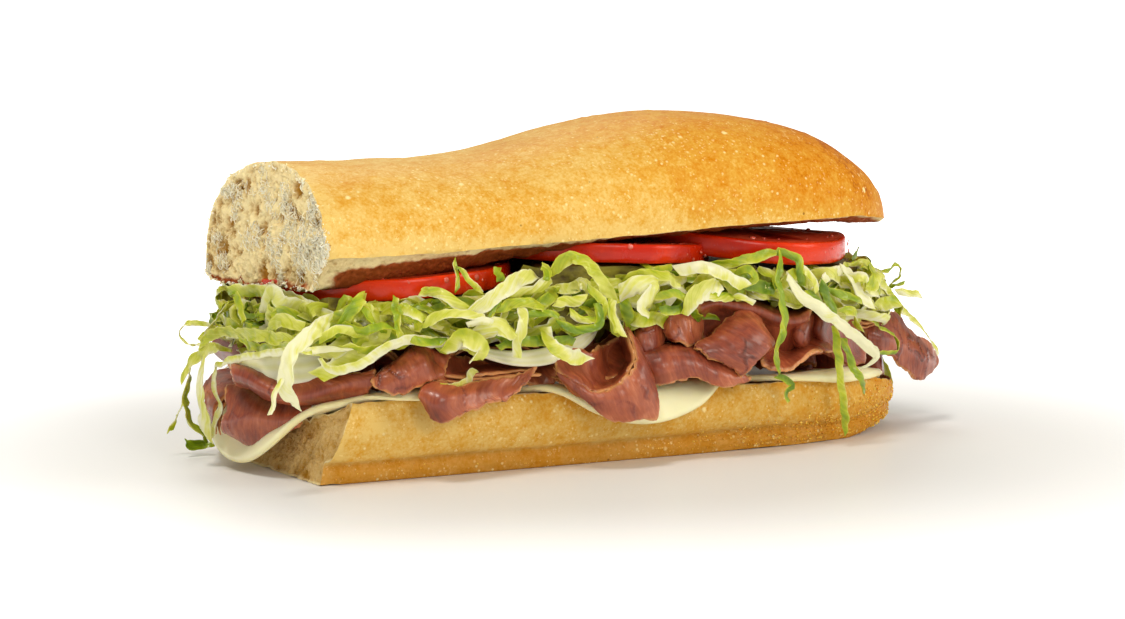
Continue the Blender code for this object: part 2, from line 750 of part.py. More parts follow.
def build_beef():
    """All the beef slices, from the cut end to the rounded end."""
    made = []
    made.append(beef_slice("beef_end_fold", [
        [(-70, -26, 22.5), (-82, -28, 24), (-91, -30, 22), (-96, -31, 18), (-98.5, -31, 13.5)],
        [(-70, -12, 20.5), (-84, -12, 22), (-96, -13, 21), (-102, -14, 16), (-101.5, -15, 11.5)],
        [(-72, 4, 19), (-85, 4, 20), (-97, 4, 20), (-104, 3, 15), (-104, 2, 10)],
        [(-74, 20, 21), (-85, 20, 21.5), (-93, 18, 21), (-98.5, 16, 19), (-101.5, 13, 16)],
    ]))
    roll = [math.radians(a) for a in (255, 195, 130, 70, 10, -50)]
    made.append(beef_slice("beef_end_roll", [
        [(x + BEEF_ROLL_RADIUS * math.cos(a), y, z + BEEF_ROLL_RADIUS * math.sin(a)) for a in roll]
        for x, y, z in ((-88, -12, 28.5), (-90, 10, 26.5), (-88, 36, 27.5))
    ]))
    made.append(beef_run("beef_left_wing",
             [(-83, 27), (-78, 30), (-72.5, 33), (-68.5, 29), (-66.5, 24.5)],
             [(-83, 27), (-78, 28), (-73, 29), (-69, 27), (-66, 25)], -39.5, 34))
    made.append(beef_slice("beef_left_flap", [
        [(-66, -41, 21), (-63.5, -42, 15), (-55, -42, 15.5), (-45, -41.5, 17), (-36, -41, 19.5)],
        [(-63.5, -40.5, 24), (-60, -41, 21), (-53, -41, 21), (-44, -40.5, 22), (-35, -40, 23)],
        [(-63, -36, 27), (-58, -36, 26.6), (-51, -36, 26.6), (-44, -36, 27), (-36, -36, 27)],
        [(-63, -10, 25), (-58, -10, 25.5), (-51, -10, 26), (-44, -10, 26), (-36, -10, 26)],
        [(-63, 36, 26), (-58, 36, 26.5), (-51, 36, 27), (-44, 36, 27.5), (-36, 36, 27)],
    ]))
    made.append(beef_run("beef_left_top",
             [(-62, 30), (-56, 29.5), (-50, 31.5), (-43, 30), (-37, 31.5), (-31, 29.5)],
             [(-62, 30), (-56, 31), (-50, 30), (-43, 31.5), (-37, 30.5), (-31, 29)], -31, 36))
    made.append(beef_slice("beef_middle_cup", [
        [(-27, -44.5, 18.5), (-19, -46.5, 13.5), (-11, -47.5, 10.5), (-5, -47, 11.5), (-2.5, -45, 14.5)],
        [(-28, -43.5, 22.5), (-20, -46, 19), (-12, -47, 17), (-5, -46.5, 18.5), (-2.5, -44, 21)],
        [(-29, -35, 26), (-22, -39, 25.5), (-14, -43, 24), (-7.5, -44.5, 27), (-4.5, -40, 30)],
        [(-29, -20, 25), (-22, -22, 25.5), (-15, -26, 27), (-10, -31, 31.5), (-7.5, -30, 33)],
    ]))
    made.append(beef_slice("beef_middle_flap", [
        [(1, -44, 17.5), (8, -44, 17.5), (16, -43.5, 18.5), (22, -42.5, 20)],
        [(1, -44, 22), (7, -44, 23), (15, -43.5, 23.5), (24, -42, 23)],
        [(0, -37.5, 26), (6, -38.5, 28), (15, -38, 27.5), (25, -36.5, 25.5)],
        [(-2, -20, 24.5), (6, -20, 25), (15, -20, 25), (25, -20, 24.5)],
        [(-2, 10, 23.5), (6, 10, 24), (15, 10, 25), (25, 10, 24)],
        [(-2, 37, 25), (6, 37, 24), (15, 37, 25), (25, 37, 24.5)],
    ]))
    made.append(beef_run("beef_middle_rolls",
             [(-4, 29), (-1.5, 33), (3, 35), (6, 31), (9, 34.5), (11.5, 34), (12.8, 29.5)],
             [(-4, 28), (-1, 31), (3, 32), (6, 29.5), (9, 32), (11.5, 31), (12.8, 28)], -33, 35))
    made.append(beef_slice("beef_fan", [
        [(18, -46.5, 21), (24, -46.5, 25.5), (31, -44, 32)],
        [(12.5, -46.5, 26), (19.5, -46.5, 30), (27, -43.5, 36)],
        [(8.5, -41, 30.5), (15.5, -41, 34.5), (23, -39, 38.5)],
        [(18, -32, 30), (22, -32, 33), (27.5, -30, 34)],
        [(18, 0, 29), (22, 0, 31), (28, 0, 32)],
        [(18, 35, 28), (22, 35, 29), (28, 35, 28)],
    ]))
    made.append(beef_run("beef_right_top",
             [(16, 40.2), (23, 40), (31, 38.4), (39, 36), (46, 36), (51, 38.5)],
             [(16, 36), (23, 35), (31, 36), (39, 34), (46, 36), (51, 35)], -35, 34))
    made.append(beef_run("beef_right_boat",
             [(31, 31.5), (32.5, 27.5), (37, 25), (43, 22.8), (49, 24.5), (54, 28), (60, 26.5)],
             [(31.5, 30), (33, 26), (37, 24), (43, 24), (49, 25), (54, 27), (60, 25)], -38, 33))
    made.append(beef_run("beef_right_inner",
             [(55, 32), (60, 30.5), (65, 33), (70, 29.5), (75, 31)],
             [(55, 31), (60, 33), (65, 30), (70, 32), (75, 29)], -27, 26))
    made.append(beef_slice("beef_tip_flap", [
        [(74, -21, 20.5), (84, -16, 18.5), (94, -12, 14.5), (101, -10, 12.5), (105, -8, 13)],
        [(73, -20, 26), (83, -15, 25.5), (93, -11, 25), (101, -8, 20), (108, -6, 16.5)],
        [(74, -15, 28), (84, -10, 30), (92, -7, 31.5), (100, -4, 26), (108, -3, 20)],
        [(75, 2, 26), (84, 4, 26.5), (91, 5, 26.5), (98, 5, 23), (104, 4, 18)],
        [(75, 20, 23), (83, 17, 22), (89, 15, 21), (94, 13, 19), (98, 11, 16)],
    ]))
    return made


def clear_scene():
    """Removes every object of the startup scene."""
    for old in list(bpy.data.objects):
        bpy.data.objects.remove(old)


def bottom_slant(z):
    """How far the bottom roll's cut face leans inwards at height z."""
    return CUT_SLANT * (max(0.0, z) / RIM_LEFT) ** 1.5


def top_slant(z):
    """How far the top roll's cut face leans inwards at height z."""
    return CROWN_SLANT * max(0.0, (z - EDGE_LEFT) / (CROWN_LEFT - EDGE_LEFT)) ** 2


def main():
    """Builds the half sandwich."""
    clear_scene()
    bottom = loft_roll("bottom_roll", bottom_section, TIP_X, bottom_slant, 3)
    top = loft_roll("top_roll", top_section, TOP_TIP_X, top_slant, 5)
    cheese = [
        cheese_slice("cheese_middle", (-7 * MM, -6 * MM), 40 * MM, 0, 0),
        cheese_slice("cheese_left", (-65 * MM, 2 * MM), 39 * MM, -62 * MM, -54 * MM),
        cheese_slice("cheese_right", (48 * MM, -1 * MM), 37 * MM, 42 * MM, 36 * MM),
    ]
    beef = build_beef()
    onion = [
        onion_sliver("onion_left", (-77, 0, 26), 25, 165, 262, 4.2, 5, 1.5),
        onion_sliver("onion_middle", (-38, -6, 32), 33, 237, 320, 4, 3, 4.5),
    ]
    tomato = [
        tomato_slice("tomato_left", (-60.5, -3, 46.3), 32 * MM, 5.2, 0.045, -0.03),
        tomato_slice("tomato_middle", (-0.5, -3, 52.0), 30.5 * MM, 4.4, -0.06, -0.02),
        tomato_slice("tomato_right", (40, -3, 53.8), 31 * MM, 4.6, -0.115, -0.02),
    ]
    press_into(top, tomato)
    build_lettuce([bottom] + cheese + beef + onion, tomato + [top])


main()
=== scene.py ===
"""Looks of half a submarine sandwich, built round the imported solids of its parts.

Metres, +Z up. X runs along the roll from the cut end (-X) to the rounded end (+X), -Y is the front,
and the origin is the middle of the bottom roll's flat base.
"""

from __future__ import annotations

import logging
import math
from dataclasses import dataclass, field
from enum import Enum
from itertools import product
from typing import Any, Iterable, Sequence

import bpy
import numpy as np
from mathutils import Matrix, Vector
from mathutils.bvhtree import BVHTree


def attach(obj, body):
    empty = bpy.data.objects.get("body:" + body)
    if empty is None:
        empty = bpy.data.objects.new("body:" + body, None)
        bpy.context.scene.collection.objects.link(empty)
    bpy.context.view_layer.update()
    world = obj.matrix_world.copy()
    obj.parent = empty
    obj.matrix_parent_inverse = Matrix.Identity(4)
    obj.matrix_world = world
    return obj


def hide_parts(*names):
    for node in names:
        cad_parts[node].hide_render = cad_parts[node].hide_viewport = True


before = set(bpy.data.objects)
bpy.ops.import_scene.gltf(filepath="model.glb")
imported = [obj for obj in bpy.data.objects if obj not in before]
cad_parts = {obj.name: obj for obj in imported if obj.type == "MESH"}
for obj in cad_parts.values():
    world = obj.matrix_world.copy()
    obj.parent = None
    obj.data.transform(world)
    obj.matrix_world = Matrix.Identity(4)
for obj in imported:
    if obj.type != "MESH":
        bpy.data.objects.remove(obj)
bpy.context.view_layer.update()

Array = np.ndarray
Colour = tuple[float, float, float]
LOG = logging.getLogger("sandwich")
MM = 0.001
TINY = 1e-9


def mix(a: Any, b: Any, t: Any) -> Any:
    """The value between a and b at share t."""
    return a + (b - a) * t


def ease(t: Any) -> Any:
    """A smooth step from 0 to 1, flat at both ends."""
    t = np.clip(t, 0.0, 1.0)
    return t * t * (3 - 2 * t)


def unit(vectors: Array) -> Array:
    """The vectors at length one."""
    return vectors / np.maximum(np.linalg.norm(vectors, axis=-1, keepdims=True), TINY)


def paint(red: float, green: float, blue: float) -> Colour:
    """A colour given as it looks on a screen, from 0 to 255, as shares of light.

    Args:
        red: How red it looks.
        green: How green it looks.
        blue: How blue it looks.

    Returns:
        The three shares of light.
    """
    shares = []
    for value in (red, green, blue):
        share = value / 255
        shares.append(share / 12.92 if share <= 0.04045 else ((share + 0.055) / 1.055) ** 2.4)
    return (shares[0], shares[1], shares[2])


def smooth(knots: Array, count: int) -> Array:
    """Points along a smooth curve through knots, evenly in knot number.

    Args:
        knots: Two or more knots, of any shape after the first axis.
        count: How many steps the curve has.

    Returns:
        count + 1 points.
    """
    knots = np.asarray(knots, float)
    last = len(knots) - 1
    t = np.linspace(0, last, count + 1)
    k = np.minimum(t.astype(int), last - 1)
    f = (t - k).reshape((-1,) + (1,) * (knots.ndim - 1))
    p0, p1 = knots[np.maximum(k - 1, 0)], knots[k]
    p2, p3 = knots[k + 1], knots[np.minimum(k + 2, last)]
    cubic = 3 * (p1 - p2) + p3 - p0
    square = 2 * p0 - 5 * p1 + 4 * p2 - p3
    return p1 + 0.5 * f * (p2 - p0 + f * (square + f * cubic))


def even_line(knots: Array, count: int) -> Array:
    """Points evenly apart along a smooth curve through knots.

    Args:
        knots: Two or more places.
        count: How many steps the line has.

    Returns:
        count + 1 places.
    """
    fine = smooth(knots, 12 * len(knots))
    run = np.concatenate([[0], np.cumsum(np.linalg.norm(np.diff(fine, axis=0), axis=1))])
    at = np.linspace(0, run[-1], count + 1)
    return np.stack([np.interp(at, run, fine[:, k]) for k in range(3)], axis=1)


class Grain:
    """Smooth seeded noise in space, for relief that is cut into a mesh."""

    CORNERS = tuple(product((0, 1), repeat=3))
    AROUND = tuple(product((-1, 0, 1), repeat=3))

    def __init__(self, seed: int) -> None:
        """Draws the tables of one noise.

        Args:
            seed: Which noise it is.
        """
        rng = np.random.default_rng(seed)
        self._order = np.tile(rng.permutation(256), 2)
        self._slopes = unit(rng.normal(size=(256, 3)))
        self._spots = rng.random((256, 3))

    def _pick(self, cell: Array) -> Array:
        """The table row of each cell.

        Args:
            cell: Cells of the noise, three whole numbers each.

        Returns:
            The rows.
        """
        cell = cell & 255
        first = self._order[cell[:, 0]]
        second = self._order[first + cell[:, 1]]
        return self._order[second + cell[:, 2]]

    def _once(self, places: Array) -> Array:
        """One octave, from about -1 to 1, for places in cells.

        Args:
            places: Places, measured in cells.

        Returns:
            One number a place.
        """
        cell = np.floor(places).astype(int)
        part = places - cell
        fade = part**3 * (part * (part * 6 - 15) + 10)
        total = np.zeros(len(places))
        for corner in self.CORNERS:
            step = np.array(corner)
            weight = np.prod(np.where(step, fade, 1 - fade), axis=1)
            slope = self._slopes[self._pick(cell + step)]
            total += weight * np.sum(slope * (part - step), axis=1)
        return 1.6 * total

    def wave(self, places: Array, size: float | Sequence[float], octaves: int = 1) -> Array:
        """Smooth noise from about -1 to 1.

        Args:
            places: Places in metres.
            size: How far apart its hills are, in metres, all round or along each axis.
            octaves: How many finer layers are added, each half as high.

        Returns:
            One number a place.
        """
        flat = np.asarray(places, float).reshape(-1, 3)
        scale = np.broadcast_to(np.asarray(size, float), (3,))
        total = np.zeros(len(flat))
        for octave in range(octaves):
            total += 0.5**octave * self._once(flat / scale * 2**octave + 17.3 * octave)
        return total.reshape(np.shape(places)[:-1])

    def holes(self, places: Array, size: float | Sequence[float]) -> tuple[Array, Array]:
        """How far each place is from the nearest and the second of scattered spots.

        Args:
            places: Places in metres.
            size: How far apart the spots are, in metres.

        Returns:
            The two distances, in shares of size.
        """
        flat = np.asarray(places, float).reshape(-1, 3) / np.broadcast_to(np.asarray(size, float), (3,))
        cell = np.floor(flat).astype(int)
        near = np.full(len(flat), 9.0)
        second = np.full(len(flat), 9.0)
        for shift in self.AROUND:
            at = cell + np.array(shift)
            gap = np.linalg.norm(at + self._spots[self._pick(at)] - flat, axis=1)
            second = np.minimum(second, np.maximum(gap, near))
            near = np.minimum(near, gap)
        shape = np.shape(places)[:-1]
        return near.reshape(shape), second.reshape(shape)


class Num:
    """A number in a shader. Sums and products of it add Math nodes."""

    def __init__(self, coat: Coat, socket: bpy.types.NodeSocket) -> None:
        """Wraps a socket.

        Args:
            coat: The material that it is in.
            socket: The socket that gives the number.
        """
        self.coat = coat
        self.socket = socket

    def _do(self, operation: str, *values: Any) -> Num:
        """The result of one Math node."""
        made = self.coat.node("ShaderNodeMath", {"operation": operation}, dict(enumerate(values)))
        return Num(self.coat, made.outputs[0])

    def __add__(self, other: Any) -> Num:
        """The sum."""
        return self._do("ADD", self, other)

    __radd__ = __add__

    def __sub__(self, other: Any) -> Num:
        """The difference."""
        return self._do("SUBTRACT", self, other)

    def __rsub__(self, other: Any) -> Num:
        """The difference from a number on the left."""
        return self._do("SUBTRACT", other, self)

    def __mul__(self, other: Any) -> Num:
        """The product."""
        return self._do("MULTIPLY", self, other)

    __rmul__ = __mul__

    def wave(self) -> Num:
        """The sine."""
        return self._do("SINE", self)

    def step(self, low: float, high: float) -> Num:
        """A smooth step from 0 at low to 1 at high.

        Args:
            low: Where it is 0.
            high: Where it is 1; it may be below low.

        Returns:
            The step.
        """
        made = self.coat.node(
            "ShaderNodeMapRange",
            {"interpolation_type": "SMOOTHSTEP"},
            {"Value": self, "From Min": low, "From Max": high},
        )
        return Num(self.coat, made.outputs["Result"])


class Coat:
    """A node material under construction."""

    def __init__(self, name: str) -> None:
        """Starts an empty material.

        Args:
            name: The material's name.
        """
        self.material = bpy.data.materials.new(name)
        self.material.use_nodes = True
        self.tree = self.material.node_tree
        self.tree.nodes.clear()
        self.place = self.node("ShaderNodeTexCoord").outputs["Object"]

    def node(
        self, kind: str, settings: dict[str, Any] | None = None, inputs: dict[Any, Any] | None = None
    ) -> bpy.types.Node:
        """Adds one node.

        Args:
            kind: The node's type.
            settings: Its properties, set first; "stops" holds a ramp's (place, colour) pairs.
            inputs: A value or a link for each socket, by name or number.

        Returns:
            The node.
        """
        made = self.tree.nodes.new(kind)
        for name, value in (settings or {}).items():
            if name == "stops":
                self._stops(made.color_ramp, value)
            else:
                setattr(made, name, value)
        for name, value in (inputs or {}).items():
            if isinstance(value, Num):
                value = value.socket
            if isinstance(value, bpy.types.NodeSocket):
                self.tree.links.new(value, made.inputs[name])
            elif isinstance(value, tuple) and made.inputs[name].type == "RGBA":
                made.inputs[name].default_value = (*value, 1.0)
            else:
                made.inputs[name].default_value = value
        return made

    @staticmethod
    def _stops(ramp: bpy.types.ColorRamp, stops: Sequence[tuple[float, Colour]]) -> None:
        """Sets a ramp's colours.

        Args:
            ramp: The ramp.
            stops: Its (place, colour) pairs.
        """
        for number, (at, colour) in enumerate(stops):
            if number < len(ramp.elements):
                element = ramp.elements[number]
                element.position = at
            else:
                element = ramp.elements.new(at)
            element.color = (*colour, 1.0)

    def value(self, name: str) -> Num:
        """A value that is kept on the mesh.

        Args:
            name: The attribute's name.

        Returns:
            The value.
        """
        made = self.node("ShaderNodeAttribute", {"attribute_name": name})
        return Num(self, made.outputs["Fac"])

    def noise(self, size: float, detail: float = 2.0, rough: float = 0.5, at: Any = None) -> Num:
        """Smooth noise from 0 to 1.

        Args:
            size: How far apart its hills are, in metres.
            detail: How many finer layers it has.
            rough: How strong the finer layers are.
            at: Where it is read; in space if nothing is given.

        Returns:
            The noise.
        """
        inputs = {"Vector": at or self.place, "Scale": 1 / size, "Detail": detail, "Roughness": rough}
        return Num(self, self.node("ShaderNodeTexNoise", None, inputs).outputs[0])

    def spots(self, size: float, spread: float = 1.0) -> Num:
        """Distance to the nearest of scattered spots, in shares of their size.

        Args:
            size: How far apart the spots are, in metres.
            spread: How unevenly they lie.

        Returns:
            The distance.
        """
        inputs = {"Vector": self.place, "Scale": 1 / size, "Randomness": spread}
        return Num(self, self.node("ShaderNodeTexVoronoi", None, inputs).outputs["Distance"])

    def along(self, first: Any, second: Any) -> bpy.types.NodeSocket:
        """A place on a sheet, made of two numbers."""
        return self.node("ShaderNodeCombineXYZ", None, {0: first, 1: second}).outputs[0]

    def tint(self, share: Any, first: Any, second: Any) -> bpy.types.NodeSocket:
        """A colour between two.

        Args:
            share: How much of the second one shows.
            first: The colour at 0.
            second: The colour at 1.

        Returns:
            The colour.
        """
        made = self.node("ShaderNodeMix", {"data_type": "RGBA"}, {0: share, 6: first, 7: second})
        return made.outputs[2]

    def shades(self, share: Any, *stops: tuple[float, Colour]) -> bpy.types.NodeSocket:
        """A colour from a ramp."""
        return self.node("ShaderNodeValToRGB", {"stops": stops}, {0: share}).outputs[0]

    def relief(self, height: Num, depth: float) -> bpy.types.NodeSocket:
        """A normal that is bent as if the surface were raised by depth at height 1.

        Args:
            height: How high each spot is, from 0 to 1.
            depth: How much that is, in metres.

        Returns:
            The normal.
        """
        inputs = {"Height": height, "Distance": depth, "Strength": 1.0}
        return self.node("ShaderNodeBump", None, inputs).outputs[0]

    def surface(self, inputs: dict[str, Any], through: float = 0.0) -> bpy.types.Material:
        """Ends the material with its surface.

        Args:
            inputs: The Principled shader's sockets.
            through: How much of the light that falls on it passes, as on a thin leaf.

        Returns:
            The material.
        """
        shader = self.node("ShaderNodeBsdfPrincipled", None, inputs).outputs[0]
        if through:
            told = {"Color": inputs["Base Color"]}
            if "Normal" in inputs:
                told["Normal"] = inputs["Normal"]
            glow = self.node("ShaderNodeBsdfTranslucent", None, told).outputs[0]
            shader = self.node("ShaderNodeMixShader", None, {0: through, 1: shader, 2: glow}).outputs[0]
        self.node("ShaderNodeOutputMaterial", None, {"Surface": shader})
        return self.material


@dataclass
class Form:
    """Points, faces and named values of one piece, gathered part by part."""

    points: list[Array] = field(default_factory=list)
    faces: list[Array] = field(default_factory=list)
    values: dict[str, list[Array]] = field(default_factory=dict)
    kinds: list[Array] = field(default_factory=list)
    count: int = 0

    def add(self, points: Array, faces: Iterable[Array], kind: int = 0, **values: Any) -> None:
        """Adds one part.

        Args:
            points: Its points, of any shape whose last axis is 3.
            faces: Arrays of faces, each with one number of corners.
            kind: Which of the piece's materials it wears.
            **values: A number for the whole part, or one a point.
        """
        points = np.asarray(points, float).reshape(-1, 3)
        number = len(points)
        for group in faces:
            group = np.asarray(group, int)
            if len(group):
                self.faces.append(group + self.count)
                self.kinds.append(np.full(len(group), kind))
        for name in set(self.values) | set(values):
            rows = self.values.setdefault(name, [np.zeros(self.count)] if self.count else [])
            given = np.asarray(values.get(name, 0.0), float)
            rows.append(np.broadcast_to(given.reshape(-1) if given.ndim else given, (number,)))
        self.points.append(points)
        self.count += number

    def piece(self, name: str, coats: Sequence[bpy.types.Material], sharp: float = 60.0) -> bpy.types.Object:
        """Makes the object.

        Args:
            name: The object's name.
            coats: Its materials, in the order of the parts' kinds.
            sharp: Edges that bend more than this many degrees stay sharp.

        Returns:
            The object.
        """
        mesh = bpy.data.meshes.new(name)
        points = np.concatenate(self.points)
        corners = np.concatenate([group.ravel() for group in self.faces])
        sizes = np.concatenate([np.full(len(group), group.shape[1]) for group in self.faces])
        mesh.vertices.add(len(points))
        mesh.vertices.foreach_set("co", points.ravel().astype(np.float32))
        mesh.loops.add(len(corners))
        mesh.loops.foreach_set("vertex_index", corners.astype(np.int32))
        mesh.polygons.add(len(sizes))
        starts = np.concatenate([[0], np.cumsum(sizes)[:-1]])
        mesh.polygons.foreach_set("loop_start", starts.astype(np.int32))
        mesh.polygons.foreach_set("material_index", np.concatenate(self.kinds).astype(np.int32))
        for value, rows in self.values.items():
            kept = mesh.attributes.new(value, "FLOAT", "POINT")
            kept.data.foreach_set("value", np.concatenate(rows).astype(np.float32))
        mesh.update(calc_edges=True)
        mesh.validate()
        for coat in coats:
            mesh.materials.append(coat)
        mesh.shade_smooth()
        mesh.set_sharp_from_angle(angle=math.radians(sharp))
        made = bpy.data.objects.new(name, mesh)
        bpy.context.scene.collection.objects.link(made)
        return made


def grid_faces(rows: int, columns: int, closed: bool = False) -> Array:
    """Faces of a grid of points.

    Args:
        rows: How many rows of points it has.
        columns: How many points are in a row.
        closed: Whether each row goes round.

    Returns:
        The faces, each with four corners.
    """
    i, j = np.meshgrid(np.arange(rows - 1), np.arange(columns if closed else columns - 1), indexing="ij")
    k = (j + 1) % columns
    i, j, k = i.ravel() * columns, j.ravel(), k.ravel()
    return np.stack([i + j, i + columns + j, i + columns + k, i + k], axis=1)


def end_caps(rows: int, columns: int) -> Array:
    """Faces that close the first and the last ring of a closed grid.

    Args:
        rows: How many rings it has.
        columns: How many points are in a ring.

    Returns:
        The two faces.
    """
    ring = np.arange(columns)
    return np.stack([ring, ring[::-1] + (rows - 1) * columns])


def grid_normals(grid: Array) -> Array:
    """Unit normals of a grid of points."""
    return unit(np.cross(np.gradient(grid, axis=0), np.gradient(grid, axis=1)))


def add_shell(form: Form, upper: Array, under: Array, kind: int = 0, **values: Any) -> None:
    """Adds a closed sheet between two grids of points.

    Args:
        form: The piece that gets it.
        upper: Its upper side, rows by columns.
        under: Its lower side.
        kind: Which of the piece's materials it wears.
        **values: A number, or one for each point of both sides.
    """
    rows, columns = upper.shape[:2]
    size = rows * columns
    face = grid_faces(rows, columns)
    number = np.arange(size).reshape(rows, columns)
    edge = np.concatenate([number[:-1, 0], number[-1, :-1], number[:0:-1, -1], number[0, :0:-1]])
    nxt = np.roll(edge, -1)
    rim = np.stack([edge, edge + size, nxt + size, nxt], axis=1)
    form.add(np.stack([upper, under]), [face, (face + size)[:, ::-1], rim], kind, **values)


def add_leaf(form: Form, grid: Array, thick: Any, **values: Any) -> None:
    """Adds a thin closed sheet.

    Args:
        form: The piece that gets it.
        grid: Its middle surface, rows by columns.
        thick: Its thickness, one number or one a point.
        **values: A number, or one for each point of the grid.
    """
    plan = grid.shape[:2]
    half = 0.5 * np.broadcast_to(np.asarray(thick, float), plan)[..., None] * grid_normals(grid)
    spread = {name: np.broadcast_to(np.asarray(value, float), plan) for name, value in values.items()}
    doubled = {name: np.stack([value, value]) for name, value in spread.items()}
    add_shell(form, grid + half, grid - half, **doubled)


def repeated(values: dict[str, Any], count: int, size: int) -> dict[str, Array]:
    """Values of many parts, given again for every point of each.

    Args:
        values: A number, or one a part, by name.
        count: How many parts there are.
        size: How many points each part has.

    Returns:
        The values, one a point.
    """
    each = {name: np.broadcast_to(np.asarray(value, float), (count,)) for name, value in values.items()}
    return {name: np.repeat(value, size) for name, value in each.items()}


def add_tubes(form: Form, routes: Array, radius: Array, **values: Any) -> None:
    """Adds many thin three-sided rods at once.

    Args:
        form: The piece that gets them.
        routes: Their middle lines, rods by steps by 3.
        radius: Their radii, rods by steps.
        **values: A number, or one for each rod.
    """
    sides = 3
    count, steps = routes.shape[:2]
    way = unit(np.gradient(routes, axis=1))
    helper = np.where(np.abs(way[..., 2:3]) > 0.8, [[[1.0, 0, 0]]], [[[0, 0, 1.0]]])
    side = unit(np.cross(way, helper))
    up = np.cross(side, way)
    angle = np.arange(sides) * 2 * math.pi / sides
    ring = side[:, :, None] * np.cos(angle)[:, None] + up[:, :, None] * np.sin(angle)[:, None]
    points = routes[:, :, None] + ring * radius[:, :, None, None]
    size = steps * sides
    starts = (np.arange(count) * size)[:, None, None]
    parts = (grid_faces(steps, sides, closed=True), end_caps(steps, sides))
    groups = [(part[None] + starts).reshape(-1, part.shape[1]) for part in parts]
    form.add(points, groups, **repeated(values, count, size))


def add_grit(form: Form, places: Array, sizes: Array, seed: int, **values: Any) -> None:
    """Adds many small uneven lumps at once.

    Args:
        form: The piece that gets them.
        places: Their middles.
        sizes: Their half widths.
        seed: Which shapes they get.
        **values: A number, or one for each lump.
    """
    rng = np.random.default_rng(seed)
    base = np.array([[1, 0, 0], [0, 1, 0], [-1, 0, 0], [0, -1, 0], [0, 0, 1], [0, 0, -1]], float)
    upper = [[0, 1, 4], [1, 2, 4], [2, 3, 4], [3, 0, 4]]
    faces = np.array(upper + [[1, 0, 5], [2, 1, 5], [3, 2, 5], [0, 3, 5]])
    count = len(places)
    turn = unit(rng.normal(size=(count, 3)))
    other = unit(np.cross(turn, rng.normal(size=(count, 3))))
    axes = np.stack([turn, other, np.cross(turn, other)], axis=1)
    lump = base[None] * rng.uniform(0.6, 1.3, (count, 6, 1)) + rng.normal(0, 0.12, (count, 6, 3))
    points = places[:, None] + np.einsum("nij,njk->nik", lump, axes) * sizes[:, None, None]
    starts = (np.arange(count) * 6)[:, None, None]
    form.add(points, [(faces[None] + starts).reshape(-1, 3)], **repeated(values, count, 6))


class Slot(Enum):
    """The record's material slots."""

    CRUST = "crust"
    CHEESE = "cheese"
    BEEF = "beef"
    TOMATO = "tomato"
    ONION = "onion"
    LETTUCE = "lettuce"


def place(piece: bpy.types.Object, slot: Slot, *nodes: str) -> None:
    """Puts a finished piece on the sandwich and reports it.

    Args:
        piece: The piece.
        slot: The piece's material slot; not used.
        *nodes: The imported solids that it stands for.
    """
    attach(piece, "root")
    if nodes:
        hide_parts(*nodes)
    LOG.info("%s: %d faces, for %s", piece.name, len(piece.data.polygons), ", ".join(nodes) or "no solid")


